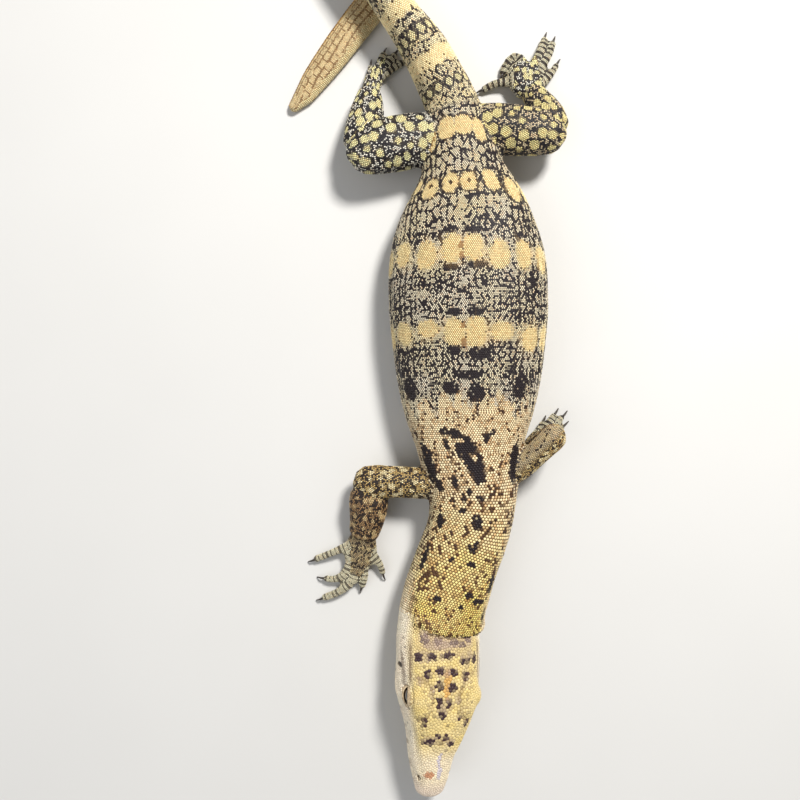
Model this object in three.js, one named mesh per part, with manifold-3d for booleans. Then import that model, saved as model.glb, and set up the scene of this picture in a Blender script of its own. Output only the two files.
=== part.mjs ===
// A young water monitor lizard, life size, lying on its belly with its head out in front and its tail looped round.
// Millimetres, +Z up, the floor at z = 0. The snout points along -Y, and the animal's right side is towards -X.
// Every length of the body, the legs and the toes is swept along a line of stations, then cut clear of its neighbours.

import * as THREE from "three";
import { mergeVertices } from "three/addons/utils/BufferGeometryUtils.js";
import Module from "manifold-3d";

// Driving dimensions
const GAP = 0.3; // space kept between two pieces that touch
const GULAR = 35; // from the snout tip to the back of the lower jaw
const MOUTH_CORNER = 33.4; // from the snout tip to the corner of the mouth
const HEAD_ROLL = 16; // degrees by which the right cheek is turned up
const TRUNK_ROLL = -8; // degrees by which the back leans to the right
const LOOP_RADIUS = 27; // of the loop that the tail lies in
const LOOP_LEG = 37.7; // degrees between the middle of the loop and each end of it
const EYE_BACK = 31.4; // from the snout tip to the middle of the eyes
const EYE_RADIUS = 3.4;
const LID_THICK = 0.6;
const CLAW_LENGTH = 1.9;
const CLAW_RADIUS = 0.5;

// Stations along the body: x, y, height of the widest line, half width, rise above it, drop below it, roll,
// and how square the section is above and below that line (2 is an ellipse).
const HEAD = {
  snoutTip: [8.35, -113.6, 8.8, 3.4, 2.7, 1.9, HEAD_ROLL, 2.2, 2.1],
  nostrils: [8.6, -107.4, 9.1, 5.0, 5.2, 3.0, HEAD_ROLL, 2.3, 2.1],
  midSnout: [8.75, -100.0, 9.6, 6.6, 6.8, 3.8, HEAD_ROLL, 2.5, 2.1],
  frontOfEyes: [9.75, -92.9, 9.9, 8.6, 8.4, 4.9, HEAD_ROLL, 2.6, 2.1],
  eyes: [10.3, -86.6, 10.0, 10.7, 9.5, 5.9, HEAD_ROLL, 2.7, 2.2],
  cheeks: [10.7, -79.6, 10.0, 11.9, 9.7, 6.7, HEAD_ROLL, 2.6, 2.2],
  ears: [10.7, -73.0, 10.0, 12.0, 9.4, 7.1, HEAD_ROLL, 2.5, 2.2],
};
const TRUNK = {
  nape: [10.8, -66.0, 9.8, 12.0, 9.4, 7.7, 14, 2.4, 2.2],
  upperNeck: [12.8, -57.0, 9.4, 12.3, 9.7, 8.8, 8, 2.2, 2.3],
  midNeck: [16.1, -46.5, 9.4, 11.9, 9.9, 9.4, 2, 2.1, 2.4],
  lowerNeck: [19.7, -36.5, 9.5, 11.9, 10.3, 9.8, -1, 2.1, 2.4],
  shoulders: [20.8, -26.0, 9.8, 12.7, 10.8, 10.2, -3, 2.1, 2.5],
  backOfArms: [20.0, -14.5, 10.0, 15.0, 11.7, 10.5, -5, 2.1, 2.6],
  chest: [19.5, -1.0, 10.4, 19.2, 12.9, 11.0, TRUNK_ROLL, 2.1, 2.8],
  ribs: [19.4, 14.0, 10.9, 21.6, 14.4, 11.5, TRUNK_ROLL, 2.1, 3.0],
  belly: [19.2, 30.0, 11.0, 22.8, 15.2, 11.6, TRUNK_ROLL, 2.1, 3.0],
  flank: [18.8, 44.5, 10.9, 21.4, 14.4, 11.5, TRUNK_ROLL, 2.1, 2.9],
  loin: [18.7, 56.5, 10.1, 17.0, 12.5, 10.5, TRUNK_ROLL, 2.1, 2.6],
  waist: [18.0, 65.0, 9.4, 12.4, 10.7, 9.5, TRUNK_ROLL, 2.1, 2.4],
  hips: [16.7, 75.0, 8.6, 9.5, 9.2, 8.5, -6, 2.1, 2.2],
};
const TAIL_ROOT = {
  vent: [14.9, 84.9, 8.2, 7.9, 8.1, 7.9, -4, 2.0, 2.1],
  behindVent: [11.5, 92.0, 8.8, 7.3, 7.7, 7.5, -2, 1.9, 2.1],
  firstBand: [7.1, 100.0, 9.9, 6.8, 7.2, 6.9, 0, 1.8, 2.1],
  rising: [1.9, 106.9, 11.2, 5.9, 6.7, 6.3, 0, 1.8, 2.1],
};
const CROSSING = [-6.9, 117.9, 12.4, 4.8, 6.2, 5.8, 2, 1.8, 2.1]; // where the tail passes over its own end
const UNDER_CROSSING = [-6.9, 117.9, 2.5, 2.7, 5.0, 4.9, 90, 1.7, 2.0];
const TAIL_END = {
  flat: [-14.3, 108.4, 2.4, 2.6, 5.0, 4.8, 90, 1.7, 2.0],
  taper: [-20.8, 99.9, 2.2, 2.4, 4.5, 4.4, 90, 1.7, 2.0],
  narrow: [-25.6, 93.7, 2.0, 2.2, 3.7, 3.8, 90, 1.8, 2.0],
  last: [-29.2, 89.0, 1.8, 2.0, 2.4, 3.0, 90, 1.9, 2.0],
  knob: [-31.2, 86.6, 1.6, 1.7, 1.7, 1.7, 90, 2.0, 2.0],
  tip: [-32.6, 85.6, 1.5, 1.6, 1.5, 1.5, 90, 2.0, 2.0],
};

// Legs: x, y, height, half width, rise, drop. A foot's drop reaches below the floor, which trims it to a flat sole.
const LEGS = {
  hand_right: {
    upper: [
      [14.0, -24.2, 10.2, 4.3, 4.2, 4.2],
      [5.0, -23.7, 10.0, 4.6, 4.3, 4.3],
      [-2.0, -23.4, 9.6, 4.7, 4.2, 4.3],
      [-9.0, -23.8, 9.0, 5.2, 4.3, 4.6],
      [-13.6, -24.9, 8.8, 4.3, 3.8, 4.0],
    ],
    lower: [
      [-9.2, -23.2, 8.8, 4.6, 4.0, 4.2],
      [-9.0, -29.0, 8.0, 5.9, 4.4, 4.6],
      [-9.5, -34.5, 6.6, 5.2, 3.8, 4.0],
      [-11.0, -40.4, 4.4, 4.3, 2.8, 3.0],
    ],
    palm: [
      [-10.8, -39.0, 4.4, 3.9, 2.5, 2.9],
      [-11.5, -44.4, 3.2, 4.9, 2.2, 3.6],
      [-12.2, -49.2, 2.7, 4.4, 1.9, 3.1],
    ],
    toes: [
      [[-9.2, -44.0, 2.8, 1.5], [-6.2, -47.6, 2.8, 1.2], [-4.9, -51.8, 1.2, 1.1]],
      [[-10.8, -46.8, 2.8, 1.6], [-10.4, -51.4, 2.9, 1.35], [-11.4, -55.6, 1.2, 1.2]],
      [[-12.6, -47.8, 2.8, 1.7], [-14.1, -53.2, 3.0, 1.5], [-18.0, -56.4, 2.4, 1.35], [-23.2, -58.7, 1.2, 1.2]],
      [[-14.2, -46.4, 2.8, 1.6], [-16.3, -51.0, 2.9, 1.35], [-19.4, -52.8, 2.2, 1.2], [-22.8, -52.6, 1.2, 1.1]],
      [[-14.6, -42.6, 3.0, 1.6], [-19.8, -44.8, 2.8, 1.25], [-25.6, -47.3, 1.2, 1.2]],
    ],
  },
  hand_left: {
    upper: [
      [25.0, -24.0, 11.0, 3.6, 3.8, 3.8],
      [33.6, -19.5, 12.8, 3.6, 3.8, 3.8],
      [39.4, -13.9, 15.0, 3.6, 3.8, 3.8],
      [45.4, -7.9, 16.6, 4.1, 3.9, 4.0],
    ],
    lower: [
      [45.0, -8.4, 14.6, 3.4, 3.4, 3.4],
      [42.6, -10.8, 10.4, 3.5, 3.5, 3.5],
      [38.6, -14.6, 5.0, 2.9, 2.7, 2.8],
    ],
    palm: [
      [37.2, -15.8, 4.0, 2.9, 2.3, 3.0],
      [40.4, -12.8, 3.3, 3.7, 2.1, 3.7],
      [43.4, -9.9, 2.7, 3.6, 1.8, 3.1],
    ],
    toes: [
      [[42.4, -12.6, 2.6, 1.2], [44.6, -11.8, 2.4, 1.1], [46.6, -10.6, 1.1, 1.0]],
      [[43.2, -11.4, 2.7, 1.3], [46.0, -9.4, 2.6, 1.2], [48.6, -7.4, 1.1, 1.0]],
      [[43.0, -10.2, 2.7, 1.3], [45.6, -7.4, 2.7, 1.2], [48.4, -4.5, 1.1, 1.0]],
      [[42.0, -9.6, 2.7, 1.3], [43.8, -6.6, 2.6, 1.2], [45.9, -3.9, 1.1, 1.0]],
      [[40.8, -10.8, 2.6, 1.2], [41.2, -8.4, 2.4, 1.1], [42.4, -6.2, 1.1, 1.0]],
    ],
  },
  foot_right: {
    upper: [
      [15.0, 75.4, 8.8, 6.6, 5.6, 6.2],
      [5.0, 74.4, 9.6, 8.0, 6.2, 6.6],
      [-3.4, 72.6, 10.4, 8.1, 6.4, 6.6],
      [-10.4, 70.8, 10.8, 6.9, 5.8, 6.0],
      [-15.6, 70.0, 10.8, 4.6, 4.6, 4.8],
    ],
    lower: [
      [-10.9, 70.6, 10.8, 5.9, 5.0, 5.2],
      [-10.3, 77.4, 9.4, 5.7, 4.8, 5.0],
      [-9.4, 83.8, 7.4, 5.0, 4.2, 4.4],
      [-8.7, 90.6, 5.0, 3.2, 3.0, 3.2],
    ],
    palm: [
      [-8.8, 89.4, 4.6, 2.7, 2.6, 3.2],
      [-7.6, 94.2, 3.6, 2.8, 2.2, 4.0],
      [-6.4, 98.0, 2.8, 2.3, 1.8, 3.2],
    ],
    toes: [
      [[-8.0, 93.8, 2.4, 1.2], [-8.8, 96.4, 2.2, 1.1], [-8.6, 99.2, 1.1, 1.0]],
      [[-6.8, 96.2, 2.8, 1.4], [-5.8, 99.6, 2.7, 1.3], [-4.6, 102.8, 1.2, 1.2]],
      [[-5.8, 96.4, 2.7, 1.4], [-3.2, 99.6, 2.6, 1.2], [-1.0, 102.8, 1.1, 1.1]],
      [[-5.4, 95.0, 2.6, 1.4], [-1.6, 98.0, 2.2, 1.2], [2.4, 100.6, 1.1, 1.1]],
      [[-8.2, 92.6, 2.5, 1.3], [-9.4, 89.6, 1.9, 1.15], [-9.2, 86.2, 1.1, 1.05]],
    ],
  },
  foot_left: {
    upper: [
      [18.0, 78.4, 8.8, 6.2, 5.6, 6.0],
      [27.0, 77.6, 9.6, 7.5, 6.2, 6.4],
      [35.4, 76.6, 10.4, 7.2, 6.2, 6.4],
      [43.4, 75.6, 10.8, 5.8, 5.4, 5.6],
      [47.6, 75.2, 10.8, 3.9, 4.2, 4.4],
    ],
    lower: [
      [43.8, 75.6, 10.8, 5.2, 4.8, 5.0],
      [42.7, 81.2, 9.2, 4.9, 4.5, 4.7],
      [40.4, 85.8, 7.0, 4.2, 3.9, 4.1],
      [38.0, 90.2, 5.0, 3.4, 3.0, 3.2],
    ],
    palm: [
      [38.2, 88.6, 4.8, 3.4, 2.6, 3.4],
      [37.2, 93.8, 3.7, 6.0, 2.3, 4.2],
      [38.0, 99.2, 2.9, 4.6, 1.9, 3.3],
    ],
    toes: [
      [[41.6, 92.6, 2.6, 1.4], [44.6, 96.2, 2.5, 1.2], [46.6, 99.6, 1.1, 1.05]],
      [[40.6, 96.6, 2.8, 1.5], [43.6, 101.2, 2.9, 1.3], [45.4, 106.2, 1.1, 1.1]],
      [[39.2, 98.0, 2.8, 1.6], [41.3, 102.8, 3.0, 1.35], [42.9, 107.4, 1.1, 1.1]],
      [[37.0, 98.2, 2.8, 1.5], [34.2, 101.2, 3.0, 1.35], [31.4, 99.2, 2.3, 1.25], [30.0, 95.6, 1.1, 1.1]],
      [[33.0, 93.4, 2.8, 1.5], [28.4, 93.2, 2.6, 1.3], [23.9, 91.4, 1.2, 1.15]],
    ],
  },
};

// Where one length of the body ends and the next begins, as a station of the body line.
const LENGTHS = [
  ["neck", "nape", "lowerNeck"],
  ["shoulders", "lowerNeck", "chest"],
  ["trunk_front", "chest", "belly"],
  ["trunk_rear", "belly", "waist"],
  ["hips", "waist", "vent"],
  ["tail_root", "vent", "rising"],
  ["tail_arch", "rising", "loop_1"],
  ["tail_loop_1", "loop_1", "loop_3"],
  ["tail_loop_2", "loop_3", "loop_5"],
  ["tail_loop_3", "loop_5", "loop_7"],
  ["tail_loop_4", "loop_7", "loop_9"],
  ["tail_return", "loop_9", "flat"],
  ["tail_end", "flat", "tip"],
];

const wasm = await Module();
wasm.setup();

const radians = THREE.MathUtils.degToRad;
const mix = THREE.MathUtils.lerp;
const hill = (x, middle, spread) => Math.exp(-(((x - middle) / spread) ** 2));

// A line of stations that can be read at any distance along it, every channel eased through the stations.
class Line {
  constructor(rows) {
    this.rows = rows.map(([x, y, z, half, rise = half, drop = half, roll = 0, above = 2, below = 2]) => [
      x, y, z, half, rise, drop, roll, above, below,
    ]);
    this.reach = [0];
    this.rows.slice(1).forEach((row, i) => this.reach.push(this.reach[i] + distance(this.rows[i], row)));
    this.length = this.reach.at(-1);
  }

  slope(i, channel) {
    const chord = (k) => (this.rows[k + 1][channel] - this.rows[k][channel]) / (this.reach[k + 1] - this.reach[k]);
    const last = this.rows.length - 1;
    if (i === 0) return chord(0);
    if (i === last) return chord(last - 1);
    const before = this.reach[i] - this.reach[i - 1];
    const after = this.reach[i + 1] - this.reach[i];
    return (chord(i - 1) * after + chord(i) * before) / (before + after);
  }

  read(s) {
    const last = this.rows.length - 2;
    let i = this.reach.findIndex((reach) => reach > s) - 1;
    if (i < 0) i = s <= 0 ? 0 : last;
    const span = this.reach[i + 1] - this.reach[i];
    const t = THREE.MathUtils.clamp((s - this.reach[i]) / span, 0, 1);
    const past = s - this.reach[i] - t * span;
    return this.rows[i].map((start, channel) => {
      const end = this.rows[i + 1][channel];
      const out = this.slope(i, channel);
      const into = this.slope(i + 1, channel);
      const eased =
        (2 * t ** 3 - 3 * t ** 2 + 1) * start +
        (t ** 3 - 2 * t ** 2 + t) * span * out +
        (3 * t ** 2 - 2 * t ** 3) * end +
        (t ** 3 - t ** 2) * span * into;
      return channel < 3 ? eased + past * (t > 0.5 ? into : out) : eased;
    });
  }

  // The section at a distance along the line: its middle, the way to its left and to its top, and its sizes.
  section(s) {
    const here = this.read(s);
    const before = new THREE.Vector3(...this.read(s - 0.05));
    const ahead = new THREE.Vector3(...this.read(s + 0.05)).sub(before).normalize();
    const side = new THREE.Vector3().crossVectors(ahead, new THREE.Vector3(0, 0, 1)).normalize();
    const top = new THREE.Vector3().crossVectors(side, ahead);
    const roll = radians(here[6]);
    return {
      middle: new THREE.Vector3(...here),
      ahead,
      side: side.clone().multiplyScalar(Math.cos(roll)).addScaledVector(top, -Math.sin(roll)),
      top: top.clone().multiplyScalar(Math.cos(roll)).addScaledVector(side, Math.sin(roll)),
      half: here[3],
      rise: here[4],
      drop: here[5],
      above: here[7],
      below: here[8],
    };
  }

  // A point given by its distance along the line, how far to the left and how far above the middle it lies.
  point(s, across, up) {
    const { middle, side, top } = this.section(s);
    return middle.clone().addScaledVector(side, across).addScaledVector(top, up);
  }
}

function distance(a, b) {
  return Math.hypot(b[0] - a[0], b[1] - a[1], b[2] - a[2]);
}

// A closed skin through rings of points, each end shut by a fan to its own middle.
function loft(rings) {
  const sides = rings[0].length;
  const points = rings.flat();
  const faces = [];
  for (let r = 0; r < rings.length - 1; r++) {
    for (let k = 0; k < sides; k++) {
      const a = r * sides + k;
      const b = r * sides + ((k + 1) % sides);
      faces.push(a, b, b + sides, a, b + sides, a + sides);
    }
  }
  for (const [ring, first, turn] of [[rings[0], 0, -1], [rings.at(-1), (rings.length - 1) * sides, 1]]) {
    const middle = ring.reduce((sum, p) => sum.add(p), new THREE.Vector3()).divideScalar(sides);
    points.push(middle);
    for (let k = 0; k < sides; k++) {
      const a = first + k;
      const b = first + ((k + 1) % sides);
      faces.push(...(turn > 0 ? [points.length - 1, a, b] : [points.length - 1, b, a]));
    }
  }
  const shape = new THREE.BufferGeometry().setFromPoints(points);
  shape.setIndex(faces);
  return solid(shape);
}

// A closed geometry as a solid, turned right side out.
function solid(shape, turned = false) {
  const bare = shape.clone();
  bare.deleteAttribute("normal");
  bare.deleteAttribute("uv");
  const merged = mergeVertices(bare, 1e-4);
  const triVerts = new Uint32Array(merged.index.array);
  if (turned) for (let i = 0; i < triVerts.length; i += 3) triVerts.subarray(i, i + 2).reverse();
  const made = new wasm.Manifold(
    new wasm.Mesh({ numProp: 3, vertProperties: new Float32Array(merged.attributes.position.array), triVerts }),
  );
  return made.volume() < 0 && !turned ? solid(shape, true) : made;
}

// One corner of a section: an oval whose squareness differs above and below its widest line.
function corner(cut, angle, grow) {
  const power = 2 / (Math.sin(angle) >= 0 ? cut.above : cut.below);
  const height = (Math.sin(angle) >= 0 ? cut.rise : cut.drop) + grow;
  const eased = (value) => Math.sign(value) * Math.abs(value) ** power;
  return [(cut.half + grow) * eased(Math.cos(angle)), height * eased(Math.sin(angle))];
}

// Sweeps a body along a line between two distances. Round ends close over a length of their own.
function sweep(line, options = {}) {
  const { sides = 12, step = 3, grow = 0, roundStart = 0, roundEnd = 0, crowd = 0, form = corner } = options;
  const from = (options.from ?? 0) - (roundStart ? grow : 0);
  const to = (options.to ?? line.length) + (roundEnd ? grow : 0);
  const start = roundStart && roundStart + grow;
  const end = roundEnd && roundEnd + grow;
  const places = [];
  const capRings = sides > 12 ? 3 : 2;
  for (let k = start ? 0 : capRings; k < capRings; k++) {
    places.push(from + start * (1 - Math.cos(((k + 0.35) / capRings) * (Math.PI / 2))));
  }
  const count = Math.max(1, Math.ceil((to - end - from - start) / step));
  for (let k = 0; k <= count; k++) places.push(mix(from + start, to - end, k / count));
  for (let k = end ? capRings - 1 : -1; k >= 0; k--) {
    places.push(to - end * (1 - Math.cos(((k + 0.35) / capRings) * (Math.PI / 2))));
  }
  const rings = places.map((s) => {
    const cut = line.section(s);
    const near = Math.min(start ? (s - from) / start : 1, end ? (to - s) / end : 1, 1);
    const shrink = Math.sqrt(1 - (1 - near) ** 2);
    return Array.from({ length: sides }, (_, k) => {
      const even = (k / sides) * 2 * Math.PI;
      const [across, up] = form(cut, even - crowd * Math.sin(2 * even), grow, s);
      return cut.middle
        .clone()
        .addScaledVector(cut.side, across * shrink)
        .addScaledVector(cut.top, up * shrink);
    });
  });
  return loft(rings);
}

// Makes an oval ball with its own three half sizes, turned so that its first axis runs along one direction.
function ball(middle, sizes, along, top, detail = 12) {
  const first = along.clone().normalize();
  const third = new THREE.Vector3().crossVectors(first, top).normalize();
  const second = new THREE.Vector3().crossVectors(third, first);
  const shape = new THREE.SphereGeometry(1, detail * 2, detail);
  shape.applyMatrix4(
    new THREE.Matrix4().makeBasis(first, second, third).scale(new THREE.Vector3(...sizes)).setPosition(middle),
  );
  return solid(shape);
}

// A block over the floor, which trims every sole, the belly and the tail to flats at one level.
const aboveFloor = solid(new THREE.BoxGeometry(400, 600, 200).translate(0, 0, 100));

// Keeps the largest closed surface of a solid.
function largest(made) {
  const bodies = made.decompose();
  return bodies.reduce((best, body) => (body.volume() > best.volume() ? body : best), bodies[0]);
}

const lizard = new THREE.Group();

// Puts a solid into the animal as one named node.
function add(name, made, colour, roughness = 0.6) {
  const mesh = largest(made.intersect(aboveFloor)).getMesh();
  const shape = new THREE.BufferGeometry();
  shape.setAttribute("position", new THREE.BufferAttribute(new Float32Array(mesh.vertProperties), 3));
  shape.setIndex(new THREE.BufferAttribute(mesh.triVerts, 1));
  shape.computeVertexNormals();
  const material = new THREE.MeshStandardMaterial({ color: colour, roughness, metalness: 0 });
  const node = new THREE.Mesh(shape, material);
  node.name = name;
  lizard.add(node);
}

const SKIN = 0xc9b784;
const LIMB = 0x6d6658;
const PALE = 0xe2d79c;
const CLAW = 0x2a221e;
const EYE = 0x140d0a;

// The whole body line, with the loop of the tail worked out between the two places where it crosses itself.
function bodyLine() {
  const names = [];
  const rows = [];
  const put = (name, row) => names.push(name) && rows.push(row);
  for (const group of [HEAD, TRUNK, TAIL_ROOT]) Object.entries(group).forEach(([name, row]) => put(name, row));
  put("crossing", CROSSING);
  const centre = [CROSSING[0], CROSSING[1] + LOOP_RADIUS / Math.sin(radians(LOOP_LEG))];
  const turns = 8;
  for (let k = 0; k <= turns; k++) {
    const along = k / turns;
    const angle = radians(mix(180 + LOOP_LEG, -LOOP_LEG, along));
    const roll = mix(6, 84, along ** 1.3);
    const half = mix(4.5, 2.9, along);
    const tall = mix(5.9, 5.1, along);
    const rest = Math.hypot(tall * Math.cos(radians(roll)), half * Math.sin(radians(roll))) - 0.25;
    const x = centre[0] + LOOP_RADIUS * Math.cos(angle);
    const y = centre[1] + LOOP_RADIUS * 1.02 * Math.sin(angle);
    put(`loop_${k + 1}`, [x, y, rest, half, tall, tall - 0.2, roll, 1.8, 2.1]);
  }
  put("under", UNDER_CROSSING);
  Object.entries(TAIL_END).forEach(([name, row]) => put(name, row));
  const line = new Line(rows);
  line.at = (name) => line.reach[names.indexOf(name)];
  return line;
}

const body = bodyLine();

// Height of the mouth line above the widest line of the head: it dips below the eye and turns down at the corner.
function mouthHeight(s) {
  const along = THREE.MathUtils.clamp(s / MOUTH_CORNER, 0, 1);
  return -0.2 - 0.9 * Math.sin(Math.PI * along * 0.9) + 0.9 * hill(along, 0.75, 0.16) - 0.8 * along ** 6;
}

// The section of the head: brows, cheeks and the ridges of the snout swell out of the plain oval, with a lip on each
// side of the mouth line and the lower lip set in.
function headCorner(cut, angle, grow, s) {
  const [across, up] = corner(cut, angle, grow);
  const lateral = Math.abs(across) / cut.half;
  const brow = 0.7 * hill(s, 27, 6) * hill(up, 8.4, 2.2) * hill(lateral, 0.66, 0.26);
  const cheek = 0.7 * hill(s, 33, 5) * hill(up, -1.5, 3.2);
  const temple = -0.6 * hill(s, 36, 5) * hill(up, 5.0, 2.0);
  const ridge = 0.35 * hill(s, 14, 7) * hill(lateral, 0.75, 0.2) * hill(up, 5, 2.5);
  const aboveMouth = up - mouthHeight(s);
  const mouth = THREE.MathUtils.smoothstep(MOUTH_CORNER + 2 - s, 0, 4);
  const lip = mouth * (0.4 * hill(aboveMouth, 0.9, 0.8) + 0.15 * hill(aboveMouth, -1.0, 0.7));
  const setIn = mouth * (aboveMouth < 0 ? -0.35 : 0);
  const swell = cheek + temple + ridge + lip + setIn;
  return [across + Math.sign(across) * swell * Math.min(1, lateral * 1.4), up + brow];
}

const HEAD_OPTIONS = { sides: 34, step: 2.4, roundStart: 2.6, crowd: 0.3, form: headCorner };

// A slab under the mouth line, which parts the lower jaw from the head.
function underMouth(grow) {
  const rings = [];
  for (let s = -4; s <= GULAR; s += 1.5) {
    const at = Math.min(s + 1.5, GULAR) === GULAR ? GULAR + grow : s;
    const top = mouthHeight(at) + grow;
    rings.push([[-16, top], [-16, -16], [16, -16], [16, top]].map(([a, b]) => body.point(at, a, b)));
  }
  return loft(rings);
}

// Where an eye sits, and the way it looks.
function eyeSocket(side) {
  const s = EYE_BACK;
  const out = body.point(s, side * 10, 2.2).sub(body.point(s, 0, 0)).normalize();
  return { middle: body.point(s, side * 7.45, 4.2), out, ahead: body.section(s).ahead, top: body.section(s).top };
}

function headSolids() {
  const whole = sweep(body, { ...HEAD_OPTIONS, to: body.at("nape") - GAP / 2 });
  let head = whole.subtract(underMouth(GAP / 2));
  for (const side of [-1, 1]) {
    const { middle, out, ahead, top } = eyeSocket(side);
    const lid = EYE_RADIUS + GAP + LID_THICK;
    head = head.add(ball(middle, [lid, lid, lid], ahead, top, 9));
    head = head.subtract(ball(middle, Array(3).fill(EYE_RADIUS + GAP), ahead, top, 8));
    const slit = middle.clone().addScaledVector(out, EYE_RADIUS + 0.6);
    head = head.subtract(ball(slit, [3.0, 1.7, 3], ahead, top, 7));
    const nostril = body.point(7.6, side * 4.6, 3.9);
    head = head.subtract(ball(nostril, [0.95, 0.6, 0.9], ahead, top, 5));
    const ear = body.point(39.5, side * 12.4, 1.6);
    head = head.subtract(ball(ear, [1.1, 1.7, 1.1], ahead, top, 5));
    const eye = ball(middle, Array(3).fill(EYE_RADIUS), ahead, top, 8);
    add(side < 0 ? "eye_right" : "eye_left", eye, EYE, 0.15);
  }
  add("head", head, PALE);
  add("lower_jaw", whole.intersect(underMouth(-GAP / 2)), PALE);
}

// The lengths of the neck, trunk and tail, parted by thin cuts across the line.
function bodySolids() {
  for (const [name, from, to] of LENGTHS) {
    const last = to === "tip";
    const tail = name.startsWith("tail");
    const made = sweep(body, {
      from: body.at(from) + GAP / 2,
      to: body.at(to) - (last ? 0 : GAP / 2),
      sides: tail ? 18 : 26,
      step: tail ? 4.8 : 4.2,
      roundEnd: last ? 1.6 : 0,
    });
    add(name, made, SKIN);
  }
}

// One leg: thigh or upper arm, shin or forearm, then the foot with its five toes and their claws.
function legSolids(foot, rows) {
  const hand = foot.startsWith("hand");
  const names = foot.replace("hand", hand ? "foreleg" : "foot").replace("foot", "hindleg");
  const near = hand ? ["lowerNeck", "chest"] : ["loin", "rising"];
  const trunk = sweep(body, { from: body.at(near[0]), to: body.at(near[1]), sides: 28, step: 4, grow: GAP });
  const upper = new Line(rows.upper);
  const lower = new Line(rows.lower);
  const palm = new Line(rows.palm);
  const thick = { sides: 12, step: 3.4 };
  const upperEnd = { ...thick, roundEnd: rows.upper.at(-1)[3] };
  const lowerEnd = { ...thick, roundStart: 3, roundEnd: 1.6 };
  add(`${names}_upper`, sweep(upper, upperEnd).subtract(trunk), LIMB);
  const aroundUpper = sweep(upper, { ...upperEnd, grow: GAP }).add(trunk);
  add(`${names}_lower`, sweep(lower, lowerEnd).subtract(aroundUpper), LIMB);
  const around = sweep(lower, { ...lowerEnd, grow: GAP }).add(aroundUpper);
  let whole = sweep(palm, { sides: 12, step: 2.5, roundStart: 1.5, roundEnd: 2 });
  const toes = rows.toes.map((stations) => {
    return new Line(stations.map(([x, y, z, radius]) => [x, y, z, radius, radius * 0.95, radius]));
  });
  const toeEnd = { sides: 7, step: 2.1, roundStart: 0.8, roundEnd: 1 };
  for (const toe of toes) whole = whole.add(sweep(toe, toeEnd));
  const made = whole.subtract(around);
  add(foot, made, LIMB);
  toes.forEach((toe, i) => {
    const claw = sweep(clawLine(toe), { sides: 5, step: 1.0, roundEnd: 0.4 });
    const kept = toes.reduce((left, other) => left.subtract(sweep(other, { ...toeEnd, grow: GAP })), claw);
    add(`${foot}_claw_${i + 1}`, kept, CLAW, 0.3);
  });
}

// A claw leaves the end of its toe, arches over and comes down to a point just above the floor.
function clawLine(toe) {
  const end = toe.section(toe.length);
  const flat = new THREE.Vector3(end.ahead.x, end.ahead.y, 0).normalize();
  const rows = [];
  for (let k = 0; k <= 4; k++) {
    const t = k / 4;
    const out = mix(-1.2, CLAW_LENGTH, t);
    const height = 1.35 + 0.55 * Math.sin(Math.PI * Math.min(1, t * 1.15)) - 0.95 * t ** 2;
    const radius = mix(CLAW_RADIUS, 0.22, t ** 1.4);
    rows.push([end.middle.x + flat.x * out, end.middle.y + flat.y * out, height, radius * 0.8, radius, radius]);
  }
  return new Line(rows);
}

headSolids();
bodySolids();
Object.entries(LEGS).forEach(([foot, rows]) => legSolids(foot, rows));

// The origin is on the floor, under the middle of the whole animal.
const bounds = new THREE.Box3().setFromObject(lizard, true);
const middle = bounds.getCenter(new THREE.Vector3());
lizard.position.set(-middle.x, -middle.y, -bounds.min.z);

export default lizard;
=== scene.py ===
"""A young water monitor lizard, life size, lying with its head in front and its tail looped round behind it.

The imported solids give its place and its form. One skin covers all the flesh, and the scales, plates, eyes
and claws are set on that skin. Lengths are in millimetres until they are put into a mesh.
"""
import math

import bmesh
import bpy
import numpy as np
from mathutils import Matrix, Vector
from mathutils.bvhtree import BVHTree
from mathutils.kdtree import KDTree


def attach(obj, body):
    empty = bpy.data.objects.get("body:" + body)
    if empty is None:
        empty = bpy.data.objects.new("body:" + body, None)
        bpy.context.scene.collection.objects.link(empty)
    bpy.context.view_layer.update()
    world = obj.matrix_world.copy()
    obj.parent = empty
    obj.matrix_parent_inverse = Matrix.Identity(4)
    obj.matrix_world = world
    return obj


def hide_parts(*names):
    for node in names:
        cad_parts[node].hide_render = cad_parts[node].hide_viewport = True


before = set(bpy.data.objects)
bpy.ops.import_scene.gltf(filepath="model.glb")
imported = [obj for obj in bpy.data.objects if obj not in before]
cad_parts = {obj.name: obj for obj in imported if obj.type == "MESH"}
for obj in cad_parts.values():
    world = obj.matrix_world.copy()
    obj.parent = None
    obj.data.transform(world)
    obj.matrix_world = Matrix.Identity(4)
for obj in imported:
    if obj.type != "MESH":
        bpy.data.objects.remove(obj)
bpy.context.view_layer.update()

# Camera
# It hangs a quarter of a metre over the floor and looks straight down, with the snout at the lower edge of
# the picture and the loop of the tail beyond the upper edge.
METRE = 1000  # in millimetres
HEIGHT_OF_EYE = 255
FOCAL_LENGTH, PICTURE_SIDE = 858, 800  # both in the picture's own dots
ORIGIN = np.array([-5.948, -40.200])
lens = bpy.data.cameras.new("camera")
lens.sensor_width = 36
lens.lens = lens.sensor_width * FOCAL_LENGTH / PICTURE_SIDE
lens.clip_start = 0.01
camera = bpy.data.objects.new("camera", lens)
camera.location = (ORIGIN[0] / METRE, ORIGIN[1] / METRE, HEIGHT_OF_EYE / METRE)
bpy.context.scene.collection.objects.link(camera)
bpy.context.scene.camera = camera


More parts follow.
